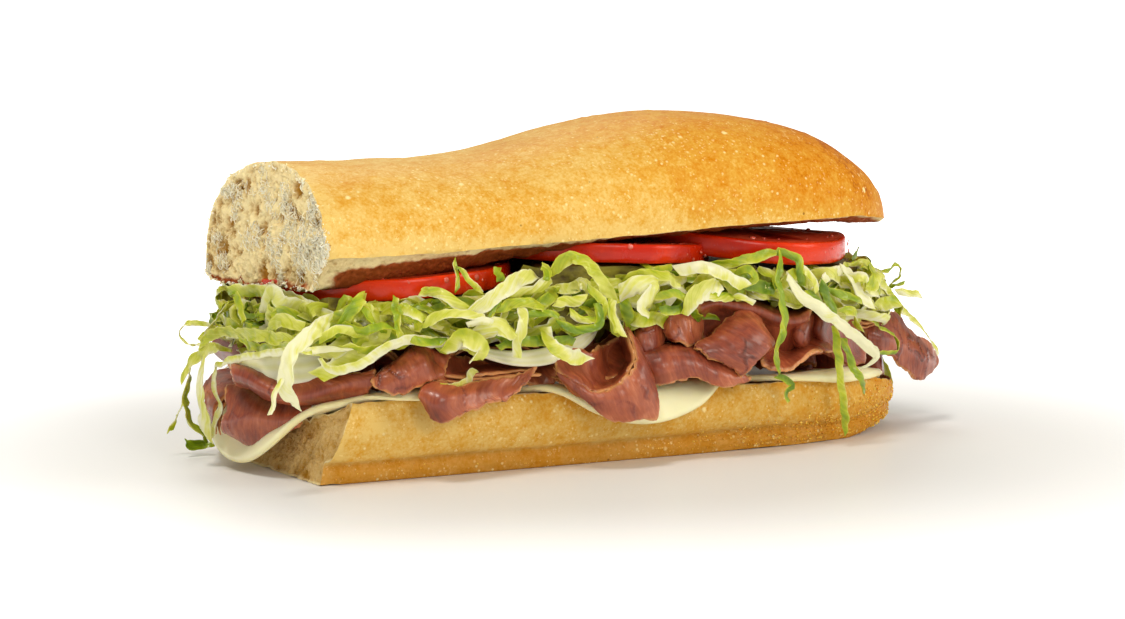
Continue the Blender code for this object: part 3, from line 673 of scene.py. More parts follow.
@dataclass(frozen=True)
class CrustFinish:
    """Baked crust and open crumb where the roll is cut or torn, with painted shade in the crumb's pits, on
    its cut faces and on the bottom roll's torn end, and sauce-stained crumb that is partly painted shade.
    """

    pale: Colour = paint(228, 193, 112)
    gold: Colour = paint(216, 161, 60)
    deep: Colour = paint(205, 127, 12)
    brown: Colour = paint(158, 74, 2)
    fleck: Colour = paint(255, 232, 164)
    char: Colour = paint(120, 70, 20)
    band_gold: Colour = paint(188, 120, 4)
    crumb_light: Colour = paint(243, 224, 170)
    crumb_deep: Colour = paint(170, 122, 44)
    shaded_crumb: Colour = paint(202, 144, 26)
    stain_pink: Colour = paint(180, 92, 50)
    stain_shade_brown: Colour = paint(126, 60, 20)

    def dress(self, name: str) -> bpy.types.Material:
        """Makes the material.

        Args:
            name: Its name.

        Returns:
            The material.
        """
        coat = Coat(name)
        crumb = coat.value("crumb")
        bake = coat.value("bake")
        band = coat.value("band")
        stain = coat.value("stain")
        pit = coat.value("pit")
        broad = coat.noise(24 * MM, 3.0)
        mottle = coat.noise(3.2 * MM, 4.0, 0.6)
        fine = coat.noise(0.8 * MM, 3.0, 0.6)
        tone = bake + (broad - 0.5) * 0.5 + (mottle - 0.5) * 0.85 + (fine - 0.5) * 0.6
        crust = coat.shades(tone, (0.0, self.pale), (0.34, self.gold), (0.68, self.deep), (1.0, self.brown))
        grainy = coat.shades(
            tone * 0.4 + fine * 0.6, (0.15, self.deep), (0.5, self.band_gold), (0.9, self.brown)
        )
        crust = coat.tint(band, crust, grainy)
        dots = coat.spots(2.7 * MM).step(0.2, 0.07) * coat.noise(9 * MM).step(0.36, 0.56)
        crust = coat.tint(dots * 0.75, crust, self.fleck)
        specks = coat.spots(1.3 * MM).step(0.26, 0.1) * coat.noise(5 * MM).step(0.45, 0.6)
        crust = coat.tint(specks * 0.6, crust, self.fleck)
        dust = coat.noise(1.0 * MM, 3.0, 0.7).step(0.57, 0.68) * coat.noise(7 * MM).step(0.42, 0.62)
        crust = coat.tint(dust * 0.5, crust, self.fleck)
        blots = (coat.spots(11 * MM) + (fine - 0.5) * 0.06).step(0.09, 0.04)
        crust = coat.tint(blots * 0.85, crust, self.fleck)
        chars = coat.spots(13 * MM, spread=0.9).step(0.035, 0.02)
        crust = coat.tint(chars * 0.7, crust, self.char)
        pores = coat.spots(1.7 * MM).step(0.1, 0.5)
        webs = coat.noise(0.7 * MM, 3.0, 0.65)
        patches = coat.noise(8 * MM, 2.0)
        # The crumb is painted darker in its pits and pores, which is painted shade; its webs and larger tan
        # patches are its own colour.
        pit_shade_and_patches = pit * 0.8 + (1 - pores) * 0.2 + (webs - 0.5) * 0.7 + (patches - 0.5) * 1.3
        bread = coat.tint(pit_shade_and_patches.step(0.0, 1.0), self.crumb_light, self.crumb_deep)
        # Crumb where this value is high is painted a darker tan: painted shade, mostly on the bottom roll's
        # torn end.
        bread = coat.tint(bake.step(0.45, 1.05) * (0.35 + webs), bread, self.shaded_crumb)
        # Sauce stain on the crumb, browner and darker where the value is high, further in under the roll:
        # partly real stain, partly painted shade.
        wet = (stain + (coat.noise(2.6 * MM, 3.0, 0.6) - 0.55) * 0.7).step(0.12, 0.6)
        browned_and_shaded = (coat.noise(1.5 * MM, 2.0) + stain * 0.4).step(0.4, 1.0)
        stain_and_shade_colour = coat.tint(browned_and_shaded, self.stain_pink, self.stain_shade_brown)
        bread = coat.tint(wet, bread, stain_and_shade_colour)
        ragged = (crumb + (fine - 0.5) * 0.5).step(0.35, 0.65)
        colour = coat.tint(ragged, crust, bread)
        skin = mottle * 0.6 + fine * 0.45 + dots * 0.9 + specks * 0.6 + blots
        normal = coat.relief(skin * (1 - crumb) + (webs + pores) * crumb * 1.6, 0.16 * MM)
        rough = 0.5 + crumb * 0.35 - bake * 0.06
        return coat.surface(
            {
                "Base Color": colour,
                "Roughness": rough,
                "Normal": normal,
                "Subsurface Weight": 0.08,
                "Subsurface Radius": (1.0, 0.7, 0.35),
                "Subsurface Scale": 1.2 * MM,
                "Specular IOR Level": 0.2,
                "IOR": 1.25,
            }
        )


@dataclass(frozen=True)
class GritFinish:
    """Small dry grains of one colour range."""

    light: Colour
    dark: Colour
    rough: float = 0.5
    through: float = 0.0

    def dress(self, name: str) -> bpy.types.Material:
        """Makes the material.

        Args:
            name: Its name.

        Returns:
            The material.
        """
        coat = Coat(name)
        tone = coat.value("tone") + (coat.noise(0.9 * MM) - 0.5) * 0.6
        return coat.surface(
            {
                "Base Color": coat.tint(tone.step(0.0, 1.0), self.light, self.dark),
                "Roughness": self.rough + coat.noise(0.6 * MM) * 0.2,
                "Specular IOR Level": 0.5,
                "Subsurface Weight": 0.15,
                "Subsurface Radius": (1.0, 0.7, 0.4),
                "Subsurface Scale": 0.5 * MM,
            },
            self.through,
        )


@dataclass(frozen=True)
class CheeseFinish:
    """Pale, faintly see-through cheese with a soft shine."""

    body: Colour = paint(255, 246, 198)
    edge: Colour = paint(246, 226, 152)

    def dress(self, name: str) -> bpy.types.Material:
        """Makes the material.

        Args:
            name: Its name.

        Returns:
            The material.
        """
        coat = Coat(name)
        rim = coat.value("edge")
        cloud = coat.noise(9 * MM, 3.0)
        grain = coat.noise(0.9 * MM, 3.0)
        share = rim * 0.6 + (cloud - 0.5) * 0.8
        colour = coat.tint(share.step(0.0, 1.2), self.body, self.edge)
        return coat.surface(
            {
                "Base Color": colour,
                "Roughness": 0.3 + cloud * 0.18,
                "Normal": coat.relief(cloud * 1.0 + grain * 0.25, 0.18 * MM),
                "Subsurface Weight": 0.45,
                "Subsurface Radius": (1.0, 0.85, 0.5),
                "Subsurface Scale": 2.2 * MM,
                "Coat Weight": 0.15,
                "Coat Roughness": 0.25,
            }
        )


@dataclass(frozen=True)
class BeefFinish:
    """Moist roast beef: fibres, darker hollows and creases that are painted shade, and a thin tan border."""

    rose: Colour = paint(172, 88, 52)
    mauve: Colour = paint(138, 60, 36)
    dark: Colour = paint(84, 31, 14)
    pink: Colour = paint(214, 134, 92)
    border: Colour = paint(224, 160, 96)

    def dress(self, name: str) -> bpy.types.Material:
        """Makes the material.

        Args:
            name: Its name.

        Returns:
            The material.
        """
        coat = Coat(name)
        tone = coat.value("tone")
        edge = coat.value("edge")
        over = coat.value("over")
        down = coat.value("down")
        cloud = coat.noise(11 * MM, 3.0, 0.55)
        lying = coat.along(over * 1.0, down * 0.22)
        fibre = coat.noise(0.9 * MM, 4.0, 0.65, lying)
        strand = coat.noise(2.6 * MM, 3.0, 0.6, lying)
        grain = coat.noise(0.55 * MM, 2.0, 0.6)
        share = tone + (cloud - 0.5) * 1.1 + (strand - 0.5) * 0.5 + (fibre - 0.5) * 0.62
        colour = coat.shades(
            share, (0.05, self.dark), (0.36, self.mauve), (0.62, self.rose), (0.95, self.pink)
        )
        marbling = strand.step(0.66, 0.76) * cloud.step(0.4, 0.6)
        colour = coat.tint(marbling * 0.5, colour, self.pink)
        colour = coat.tint(edge * (0.55 + 0.45 * grain), colour, self.border)
        height = strand * 0.6 + fibre * 0.5 + grain * 0.15
        return coat.surface(
            {
                "Base Color": colour,
                "Roughness": 0.27 + strand * 0.2 + edge * 0.1,
                "Normal": coat.relief(height, 0.16 * MM),
                "Subsurface Weight": 0.12,
                "Subsurface Radius": (1.0, 0.35, 0.25),
                "Subsurface Scale": 1.2 * MM,
                "Specular IOR Level": 0.45,
                "Coat Weight": 0.28,
                "Coat Roughness": 0.18,
            }
        )


@dataclass(frozen=True)
class TomatoFinish:
    """Wet tomato: glossy skin on the rim, flesh, gel and paler walls on the cut faces."""

    skin: Colour = paint(222, 54, 4)
    skin_dark: Colour = paint(192, 32, 1)
    flesh: Colour = paint(212, 56, 20)
    gel: Colour = paint(170, 30, 8)
    wall: Colour = paint(222, 92, 60)

    def dress(self, name: str) -> bpy.types.Material:
        """Makes the material.

        Args:
            name: Its name.

        Returns:
            The material.
        """
        coat = Coat(name)
        rim = coat.value("rim")
        pocket = coat.value("pocket")
        broad = coat.noise(13 * MM, 2.0)
        fine = coat.noise(1.4 * MM, 3.0)
        skin = coat.tint((broad + (fine - 0.5) * 0.3).step(0.35, 0.7), self.skin, self.skin_dark)
        flesh = coat.tint((fine * 0.6 + broad * 0.4).step(0.35, 0.65), self.flesh, self.wall)
        flesh = coat.tint(pocket.step(0.2, 0.8), flesh, self.gel)
        return coat.surface(
            {
                "Base Color": coat.tint(rim, flesh, skin),
                "Roughness": 0.2 + fine * 0.12 + (1 - rim) * 0.06,
                "Normal": coat.relief(broad * 0.9 + fine * 0.3, 0.14 * MM),
                "Subsurface Weight": 0.12,
                "Subsurface Radius": (1.0, 0.25, 0.12),
                "Subsurface Scale": 1.4 * MM,
                "Specular IOR Level": 0.24,
                "Coat Weight": 0.06,
                "Coat Roughness": 0.1,
            }
        )


@dataclass(frozen=True)
class WetFinish:
    """Clear juice: drops and beads."""

    light: Colour = paint(236, 120, 96)
    deep: Colour = paint(200, 40, 24)

    def dress(self, name: str) -> bpy.types.Material:
        """Makes the material.

        Args:
            name: Its name.

        Returns:
            The material.
        """
        coat = Coat(name)
        cloud = coat.noise(2 * MM)
        return coat.surface(
            {
                "Base Color": coat.tint(cloud, self.light, self.deep),
                "Roughness": 0.05 + cloud * 0.04,
                "Coat Weight": 1.0,
                "Coat Roughness": 0.03,
                "Subsurface Weight": 0.2,
                "Subsurface Radius": (1.0, 0.4, 0.2),
                "Subsurface Scale": 1.0 * MM,
            }
        )


@dataclass(frozen=True)
class OnionFinish:
    """Wet, half see-through onion with fine lines along its layers."""

    flesh: Colour = paint(255, 252, 216)
    line: Colour = paint(232, 228, 150)

    def dress(self, name: str) -> bpy.types.Material:
        """Makes the material.

        Args:
            name: Its name.

        Returns:
            The material.
        """
        coat = Coat(name)
        across = coat.value("across")
        cloud = coat.noise(6 * MM)
        lines = (across * 9.0 + cloud * 5.0).wave() * 0.5 + 0.5
        share = lines * 0.45 + (cloud - 0.4) * 0.7
        return coat.surface(
            {
                "Base Color": coat.tint(share.step(0.0, 1.0), self.flesh, self.line),
                "Roughness": 0.2 + lines * 0.1,
                "Normal": coat.relief(lines * 0.5 + cloud, 0.12 * MM),
                "Subsurface Weight": 0.5,
                "Subsurface Radius": (0.9, 1.0, 0.7),
                "Subsurface Scale": 2.0 * MM,
                "Coat Weight": 0.4,
                "Coat Roughness": 0.12,
            },
            0.15,
        )


@dataclass(frozen=True)
class LettuceFinish:
    """Crisp leaf from white rib to green edge, thin enough to glow."""

    rib: Colour = paint(250, 249, 212)
    pale: Colour = paint(236, 236, 122)
    leaf: Colour = paint(206, 212, 42)
    green: Colour = paint(158, 184, 28)
    dark: Colour = paint(110, 144, 18)
    through: float = 0.3

    def dress(self, name: str) -> bpy.types.Material:
        """Makes the material.

        Args:
            name: Its name.

        Returns:
            The material.
        """
        coat = Coat(name)
        tone = coat.value("tone")
        across = coat.value("across")
        run = coat.value("run")
        lean = coat.value("lean")
        lying = coat.along(run + across * lean, across * 0.15)
        veins = coat.noise(2.2 * MM, 3.0, 0.6, lying)
        cloud = coat.noise(5 * MM, 2.0)
        fine = coat.noise(0.7 * MM, 2.0)
        share = tone + (veins - 0.5) * 0.8 + (cloud - 0.5) * 0.6
        soft = (0.05, self.rib), (0.28, self.pale), (0.52, self.leaf)
        colour = coat.shades(share, *soft, (0.76, self.green), (1.0, self.dark))
        return coat.surface(
            {
                "Base Color": colour,
                "Roughness": 0.26 + cloud * 0.14,
                "Normal": coat.relief(veins * 0.6 + fine * 0.4, 0.22 * MM),
                "Specular IOR Level": 0.5,
                "Coat Weight": 0.25,
                "Coat Roughness": 0.12,
            },
            self.through,
        )


@dataclass(frozen=True)
class HeapShadeFinish:
    """The inside of the lettuce heap, in dark olive colours that paint the shade between its strips."""

    light: Colour = paint(160, 150, 36)
    dark: Colour = paint(84, 68, 12)

    def dress(self, name: str) -> bpy.types.Material:
        """Makes the material.

        Args:
            name: Its name.

        Returns:
            The material.
        """
        coat = Coat(name)
        strips = coat.noise(4 * MM, 3.0, 0.6, coat.along(coat.value("run") * 0.4, coat.value("across")))
        folds = coat.noise(2.5 * MM, 3.0)
        share = (strips * 0.6 + folds * 0.4).step(0.35, 0.65)
        # The heap's inside is coloured dark olive: painted shade between its strips.
        return coat.surface(
            {
                "Base Color": coat.tint(share, self.dark, self.light),
                "Roughness": 0.4 + folds * 0.2,
                "Normal": coat.relief(strips + folds * 0.5, 0.8 * MM),
            },
            0.15,
        )


@dataclass
class Roll:
    """Half a roll, lofted through cross-sections and torn open at its cut end."""

    name: str
    tip: float
    slant: float
    slant_from: float
    slant_to: float
    slant_power: float
    seed: int
    cut_x: float = -92 * MM
    half_width: float = 37.5 * MM
    round_start: float = 34 * MM
    slant_fade: float = 25 * MM
    straight_rows: int = 130
    round_rows: int = 80
    columns: int = 110
    cap_rows: int = 120
    cap_columns: int = 290
    # How much painted shade the torn end's crumb gets inside its rim and at its rim.
    end_shade: float = 0.3
    rim_shade: float = 0.4
    open: float = 1.0
    pit_depth: float = 1.6 * MM
    above_table: float = 0.03 * MM
    sharp: float = 70.0

    def stations(self) -> Array:
        """Places of the cross-sections, closer together round the tip.

        Returns:
            Their x, from the cut end on.
        """
        straight = np.linspace(self.cut_x, self.round_start, self.straight_rows, endpoint=False)
        turn = np.linspace(0, 0.49 * math.pi, self.round_rows)
        return np.concatenate([straight, self.round_start + (self.tip - self.round_start) * np.sin(turn)])

    def round_share(self, x: Array, start: float, power: float) -> Array:
        """How much of the full size is left at x, from 1 at the start of the rounding to 0 at the tip."""
        u = np.clip((x - start) / (self.tip - start), 0, 1)
        return (1 - u * u) ** power

    def half(self, x: Array) -> Array:
        """Half the roll's width at x."""
        return self.half_width * np.maximum(0.06, self.round_share(x, self.round_start, 0.5))

    def section(self, x: Array) -> tuple[Array, Array]:
        """Cross-sections at each x: a lower and an upper chain of (y, z), both from front to back."""
        raise NotImplementedError

    def values(self, points: Array, lower: Array) -> dict[str, Array]:
        """What the crust looks like at each point.

        Args:
            points: Places on the loft.
            lower: Whether each is on the lower chain.

        Returns:
            The named values.
        """
        raise NotImplementedError

    def relief(self, points: Array, values: dict[str, Array]) -> Array:
        """How far each point of the loft stands out.

        Args:
            points: The loft's points.
            values: What the crust looks like at each.

        Returns:
            The heights in metres.
        """
        grain = Grain(self.seed)
        crumb = values["crumb"]
        swell = 0.45 * grain.wave(points, 26 * MM, 2) + 0.12 * grain.wave(points, 7 * MM, 2)
        near, _ = grain.holes(points, 9 * MM)
        blister = 0.22 * ease(1 - near / 0.28)
        pits = ease(1 - grain.holes(points, 3 * MM)[0] / 0.5)
        open_part = 0.5 * grain.wave(points, 4 * MM, 3) - 0.5 * pits
        torn = grain.wave(points, 5 * MM, 2) * ease(1 - (points[..., 0] - self.cut_x) / (7 * MM))
        return (swell + blister * (1 - crumb) + open_part * crumb + torn * self.open) * MM

    def lean(self, points: Array) -> Array:
        """How far the cut face leans inwards at each point's height.

        Args:
            points: Places on the roll.

        Returns:
            The shift of each along X.
        """
        share = np.clip((points[..., 2] - self.slant_from) / (self.slant_to - self.slant_from), 0, 1.4)
        fade = np.clip(1 - (points[..., 0] - self.cut_x) / self.slant_fade, 0, 1)
        return self.slant * share**self.slant_power * fade

    def build(self, coat: bpy.types.Material) -> tuple[Form, Array, Array]:
        """Builds the loft and its torn end.

        Args:
            coat: The roll's material; not used.

        Returns:
            The piece's form, its torn end's grid of places, and how deep each place of it lies.
        """
        x = self.stations()
        low, high = self.section(x)
        count = self.columns
        loop = np.concatenate([low, high[:, -2:0:-1]], axis=1)
        points = np.concatenate([np.broadcast_to(x[:, None, None], loop.shape[:2] + (1,)), loop], axis=2)
        points[..., 0] += self.lean(points)
        lower = np.zeros(loop.shape[:2], bool)
        lower[:, : count + 1] = True
        values = self.values(points, lower)
        values["crumb"][-1] = 0.0
        round_it = np.roll(points, -1, axis=1) - np.roll(points, 1, axis=1)
        outward = -unit(np.cross(np.gradient(points, axis=0), round_it))
        outward[0] = outward[1]
        points = points + outward * self.relief(points, values)[..., None]
        points[..., 2] = np.maximum(points[..., 2], self.above_table)
        form = Form()
        size = loop.shape[1]
        body = grid_faces(len(x), size, closed=True)[:, ::-1]
        step = np.arange(count)
        end = np.stack([step, step + 1, (size - step - 1) % size, (size - step) % size], axis=1)
        end = end + (len(x) - 1) * size
        corners = np.stack([end[0, :3], end[-1, [0, 1, 3]]])
        form.add(points, [body, corners, end[1:-1]], **values)
        cap, depth, inner = self.torn_end(points[0])
        # The crumb is painted darker where the torn end lies deep: painted shade in its pits.
        pit = np.clip(depth / self.pit_depth, 0, 1)
        # Painted shade on the torn end's crumb: fuller inside, less at the rim.
        bake = mix(min(self.rim_shade, self.end_shade), self.end_shade, inner)
        face = grid_faces(*cap.shape[:2])
        form.add(cap, [face], crumb=1.0, bake=bake, pit=pit, stain=self.end_stain_and_shade(cap), band=0.0)
        return form, cap, depth

    def end_stain_and_shade(self, cap: Array) -> Array:
        """How stained each place of the torn end is, a mark that is partly sauce stain and partly painted
        shade.
        """
        return np.zeros(cap.shape[:2])

    def torn_end(self, loop: Array) -> tuple[Array, Array, Array]:
        """The torn end: a grid from the lower chain to the upper one, full of pits.

        Args:
            loop: The first cross-section's points.

        Returns:
            The grid, how far each place lies inside the face, and how far inside the rim it is, from 0 to 1.
        """
        count = self.columns
        low = loop[: count + 1]
        high = np.concatenate([loop[:1], loop[:count:-1], loop[count : count + 1]])
        at = np.linspace(0, count, self.cap_columns)
        rows = [
            np.stack([np.interp(at, np.arange(count + 1), line[:, k]) for k in range(3)], axis=1)
            for line in (low, high)
        ]
        t = np.linspace(0, 1, self.cap_rows)[:, None, None]
        grid = mix(rows[0][None], rows[1][None], t)
        grain = Grain(self.seed + 1)
        warp = np.stack([grain.wave(grid + 0.1 * k, 6 * MM, 2) for k in range(3)], axis=-1) * 1.1 * MM
        spot = grid + warp
        big = ease(1 - grain.holes(spot, (7 * MM, 7 * MM, 5 * MM))[0] / 0.62) * 1.7
        middle = ease(1 - grain.holes(spot, 2.9 * MM)[0] / 0.6) * 1.0
        near, second = grain.holes(spot, 1.35 * MM)
        small = ease(1 - near / 0.65) * 0.55
        web = 0.35 * ease(1 - (second - near) / 0.16)
        rough = 0.8 * grain.wave(grid, 14 * MM, 3)
        depth = (big + middle + small - web - rough) * MM
        edge = np.minimum(t[..., 0], 1 - t[..., 0]) * self.cap_rows / 7
        side = np.minimum(np.linspace(0, 1, self.cap_columns), np.linspace(1, 0, self.cap_columns))
        keep = ease(np.minimum(edge, side[None] * self.cap_columns / 8))
        depth = depth * keep * self.open
        grid = grid.copy()
        grid[..., 0] += depth
        slide = np.stack([grain.wave(grid + 0.3, 2.2 * MM), grain.wave(grid + 0.5, 2.2 * MM)], axis=-1)
        grid[..., 1:] += slide * (0.45 * MM * keep)[..., None]
        grid[..., 2] = np.maximum(grid[..., 2], 0.0)
        return grid, depth, keep


@dataclass
class BottomRoll(Roll):
    """The lower half of the roll: a boat with a dished cut face, a lip and a grainy foot."""

    rim_left: float = 21.0 * MM
    rim_right: float = 18.0 * MM
    rim_tip: float = 13.0 * MM
    dish: float = 3.5 * MM
    dish_at_cut: float = 9.5 * MM
    dish_fade: float = 40 * MM
    base_share: float = 0.83
    band_height: float = 5.2 * MM
    tip_lift: float = 3.5 * MM
    tip_from: float = 60 * MM
    rim_settle: float = 120 * MM

    def rim_height(self, x: Array) -> Array:
        """Height of the cut edge."""
        along = mix(self.rim_left, self.rim_right, ease((x - self.cut_x) / self.rim_settle))
        return mix(along, self.rim_tip, ease((x - self.tip_from) / (self.tip - self.tip_from)))

    def cut_height(self, x: Array, y: Array) -> Array:
        """Height of the cut face, which the filling presses down in the middle.

        Args:
            x: Places along the roll.
            y: Places across it.

        Returns:
            The heights.
        """
        dish = mix(self.dish_at_cut, self.dish, ease((x - self.cut_x) / self.dish_fade))
        dish = np.minimum(dish, 0.4 * self.rim_height(x)) * ease(self.half(x) / (0.25 * self.half_width))
        side = np.minimum(1.0, np.abs(y) / self.half(x))
        return self.rim_height(x) - dish * (1 - side * side)

    def section(self, x: Array) -> tuple[Array, Array]:
        """Cross-sections at each x: a lower and an upper chain of (y, z), both from front to back.

        Args:
            x: Places along the roll.

        Returns:
            The two chains, one row a place.
        """
        wide = self.half(x)
        share = wide / self.half_width
        rim = self.rim_height(x)
        lift = self.tip_lift * ease((x - self.tip_from) / (self.tip - self.tip_from))
        foot = self.base_share * wide
        band = self.band_height * (0.5 + 0.5 * share)
        edge = wide - 1.6 * MM * share
        half = [
            (edge, rim),
            (wide - 0.3 * MM * share, mix(lift, rim, 0.84)),
            (wide, mix(lift, rim, 0.58)),
            (mix(foot, wide, 0.62), lift + band + 1.3 * MM * share),
            (foot + 1.3 * MM * share, lift + band + 0.2 * MM),
            (foot + 0.9 * MM * share, lift + 0.9 * band),
            (foot + 1.5 * MM * share, lift + 0.5 * band),
            (foot + 0.9 * MM * share, lift + 0.12 * band),
            (foot, lift),
            (0.6 * foot, lift),
        ]
        front = [np.stack([-y, z], axis=1) for y, z in half]
        middle = [np.stack([np.zeros_like(x), lift], axis=1)]
        back = [np.stack([y, z], axis=1) for y, z in reversed(half)]
        knots = np.stack(front + middle + back)
        fine = smooth(knots, 40 * (len(knots) - 1))
        run = np.linalg.norm(np.diff(fine[:, 0], axis=0), axis=1)
        run = np.concatenate([[0], np.cumsum(run)])
        at = np.interp(np.linspace(0, run[-1], self.columns + 1), run, np.arange(len(run)))
        k = np.minimum(at.astype(int), len(run) - 2)
        lower = mix(fine[k], fine[k + 1], (at - k)[:, None, None]).transpose(1, 0, 2)
        y = mix(-edge[:, None], edge[:, None], np.linspace(0, 1, self.columns + 1)[None])
        upper = np.stack([y, self.cut_height(x[:, None], y)], axis=2)
        lower[:, 0], lower[:, -1] = upper[:, 0], upper[:, -1]
        return lower, upper

    def values(self, points: Array, lower: Array) -> dict[str, Array]:
        """What the crust looks like at each point.

        Args:
            points: Places on the loft.
            lower: Whether each is on the lower chain.

        Returns:
            The named values.
        """
        x, z = points[..., 0], points[..., 2]
        grain = Grain(self.seed + 7)
        soft = grain.wave(points, 18 * MM, 2)
        right = ease((x - 5 * MM) / (85 * MM))
        low = ease(1 - z / (self.band_height + 9 * MM * right + 1.0 * MM))
        tip = ease((x - 62 * MM) / (26 * MM))
        bake = 0.2 + 0.1 * right + 0.14 * tip + 0.1 * soft
        foot = ease((self.band_height + 0.3 * MM - z) / (0.9 * MM))
        band = np.clip(foot * (0.6 - 0.2 * right) + 0.12 * low * right, 0, 1)
        left = ease((self.cut_x + 7 * MM - x) / (5 * MM))
        bake = bake - 0.2 * left
        crumb = np.where(lower, 0.0, 1.0)
        crumb[:, 0] = crumb[:, self.columns] = 0.6
        band = band * (1 - crumb)
        # The cut face's crumb gets a constant pit value, which paints it a little darker as painted shade.
        return {"crumb": crumb, "bake": bake, "stain": 0.5 * crumb, "band": band, "pit": 0.3 * crumb}


@dataclass
class TopRoll(Roll):
    """The upper half of the roll: a loaf that is humped towards its tip and leans back on its filling."""

    crown_left: float = 76.4 * MM
    crown_right: float = 87.2 * MM
    crown_rise_from: float = -50 * MM
    crown_rise_to: float = 20 * MM
    crown_round_start: float = 22 * MM
    edge_left: float = 55.0 * MM
    edge_right: float = 59.5 * MM
    edge_tip: float = 57.0 * MM
    tip_from: float = 60 * MM
    base_tip: float = 92 * MM
    back_lean: float = 0.045
    shift_y: float = 1.8 * MM
    drop_left: float = 8.0 * MM
    drop_right: float = 1.6 * MM
    drop_fade: float = 95 * MM
    edge_settle: float = 150 * MM
    back_rise: float = 2.5 * MM
    back_width: float = 7 * MM
    least_crown: float = 3 * MM
    chamfer: float = 8.5 * MM
    power: float = 2.35

    def edge_height(self, x: Array) -> Array:
        """Height of the front crust edge."""
        along = mix(self.edge_left, self.edge_right, ease((x - self.cut_x) / self.edge_settle))
        return mix(along, self.edge_tip, ease((x - self.tip_from) / (self.base_tip - self.tip_from)))

    def crown_height(self, x: Array) -> Array:
        """Height of the crown.

        Args:
            x: Places along the roll.

        Returns:
            The heights.
        """
        rise = ease((x - self.crown_rise_from) / (self.crown_rise_to - self.crown_rise_from))
        crown = mix(self.crown_left, self.crown_right, rise)
        return mix(self.edge_height(x), crown, self.round_share(x, self.crown_round_start, 0.56))

    def underside_height(self, x: Array, y: Array) -> Array:
        """Height of the cut face, below the crust edges and lower at the back.

        Args:
            x: Places along the roll.
            y: Places across it.

        Returns:
            The heights.
        """
        drop = mix(self.drop_left, self.drop_right, ease((x - self.cut_x) / self.drop_fade))
        share = self.half(x) / self.half_width
        return self.edge_height(x) - drop * share - self.back_lean * (y + 0.75 * self.half_width)

    def section(self, x: Array) -> tuple[Array, Array]:
        """Cross-sections at each x: a lower and an upper chain of (y, z), both from front to back.

        Args:
            x: Places along the roll.

        Returns:
            The two chains, one row a place.
        """
        x = x[:, None]
        wide = self.half(x)
        share = wide / self.half_width
        front = self.edge_height(x)
        back = self.underside_height(x, wide) + self.back_rise * share
        crown = np.maximum(self.crown_height(x), front + self.least_crown)
        centre = self.shift_y * share
        t = np.linspace(0, 1, self.columns + 1)[None]
        y = centre + mix(-wide, wide, t)
        z = mix(front, self.underside_height(x, y), ease((y - centre + wide) / (self.chamfer * share)))
        z = mix(z, back, ease((y - centre - wide) / (self.back_width * share) + 1))
        lower = np.stack([y, z], axis=2)
        angle = np.pi * (1 - t)
        side = np.cos(angle)
        y = centre + wide * np.sign(side) * np.abs(side) ** (2 / self.power)
        spring = mix(front, back, ease(0.5 + 0.5 * side))
        z = spring + (crown - spring) * np.abs(np.sin(angle)) ** (2 / self.power)
        upper = np.stack([y, z], axis=2)
        upper[:, 0], upper[:, -1] = lower[:, 0], lower[:, -1]
        return lower, upper

    def values(self, points: Array, lower: Array) -> dict[str, Array]:
        """What the crust looks like at each point.

        Args:
            points: Places on the loft.
            lower: Whether each is on the lower chain.

        Returns:
            The named values.
        """
        x, y, z = points[..., 0], points[..., 1], points[..., 2]
        grain = Grain(self.seed + 7)
        soft = grain.wave(points, 22 * MM, 2)
        edge = self.edge_height(x)
        up = np.clip((z - edge) / (24 * MM), 0, 1)
        tip = ease((x - 30 * MM) / (54 * MM))
        crown = ease((z - 74 * MM) / (14 * MM))
        right = ease((x + 40 * MM) / (110 * MM))
        bake = 0.22 + 0.3 * right + 0.14 * crown * right + 0.42 * tip * (0.3 + 0.7 * up) + 0.08 * soft
        bake = bake - 0.22 * (1 - ease(up / 0.25)) * (1 - 0.6 * tip)
        bake = bake - 0.16 * ease((self.cut_x + 8 * MM - x) / (6 * MM))
        crumb = np.where(lower, 1.0, 0.0)
        crumb[:, 0] = crumb[:, self.columns] = 0.4
        crumb[:, 1] = crumb[:, self.columns - 1] = 0.75
        # The underside's stain grows away from the front edge and the sides, into the hollow under the roll:
        # partly sauce stain, partly painted shade.
        start = mix(2.4 * MM, 0.0, ease((x - self.cut_x) / (38 * MM)))
        inside = ease((edge - start - z) / (2.4 * MM)) + ease((x + 40 * MM) / (60 * MM)) * 0.7
        far = ease((self.half(x) - np.abs(y - self.shift_y)) / (3.5 * MM))
        stain = crumb * np.clip(inside, 0, 1) * (0.45 + 0.55 * far)
        stain = stain * ease((x - self.cut_x - 1.5 * MM) / (7 * MM)) * mix(1.0, 0.6, tip)
        # The underside's crumb gets a constant pit value, which paints it a little darker as painted shade.
        return {"crumb": crumb, "bake": bake, "stain": stain, "band": 0.0 * x, "pit": 0.25 * crumb}

    def end_stain_and_shade(self, cap: Array) -> Array:
        """How stained each place of the torn end is, partly sauce stain and partly painted shade: only near
        its lowest part.

        Args:
            cap: The torn end's grid.

        Returns:
            The shares, from 0 to 1.
        """
        low = cap[:1, :, 2]
        share = ease(1 - (cap[..., 2] - low) / (2.5 * MM))
        return 0.8 * share * ease((cap[..., 1] + 30 * MM) / (12 * MM))


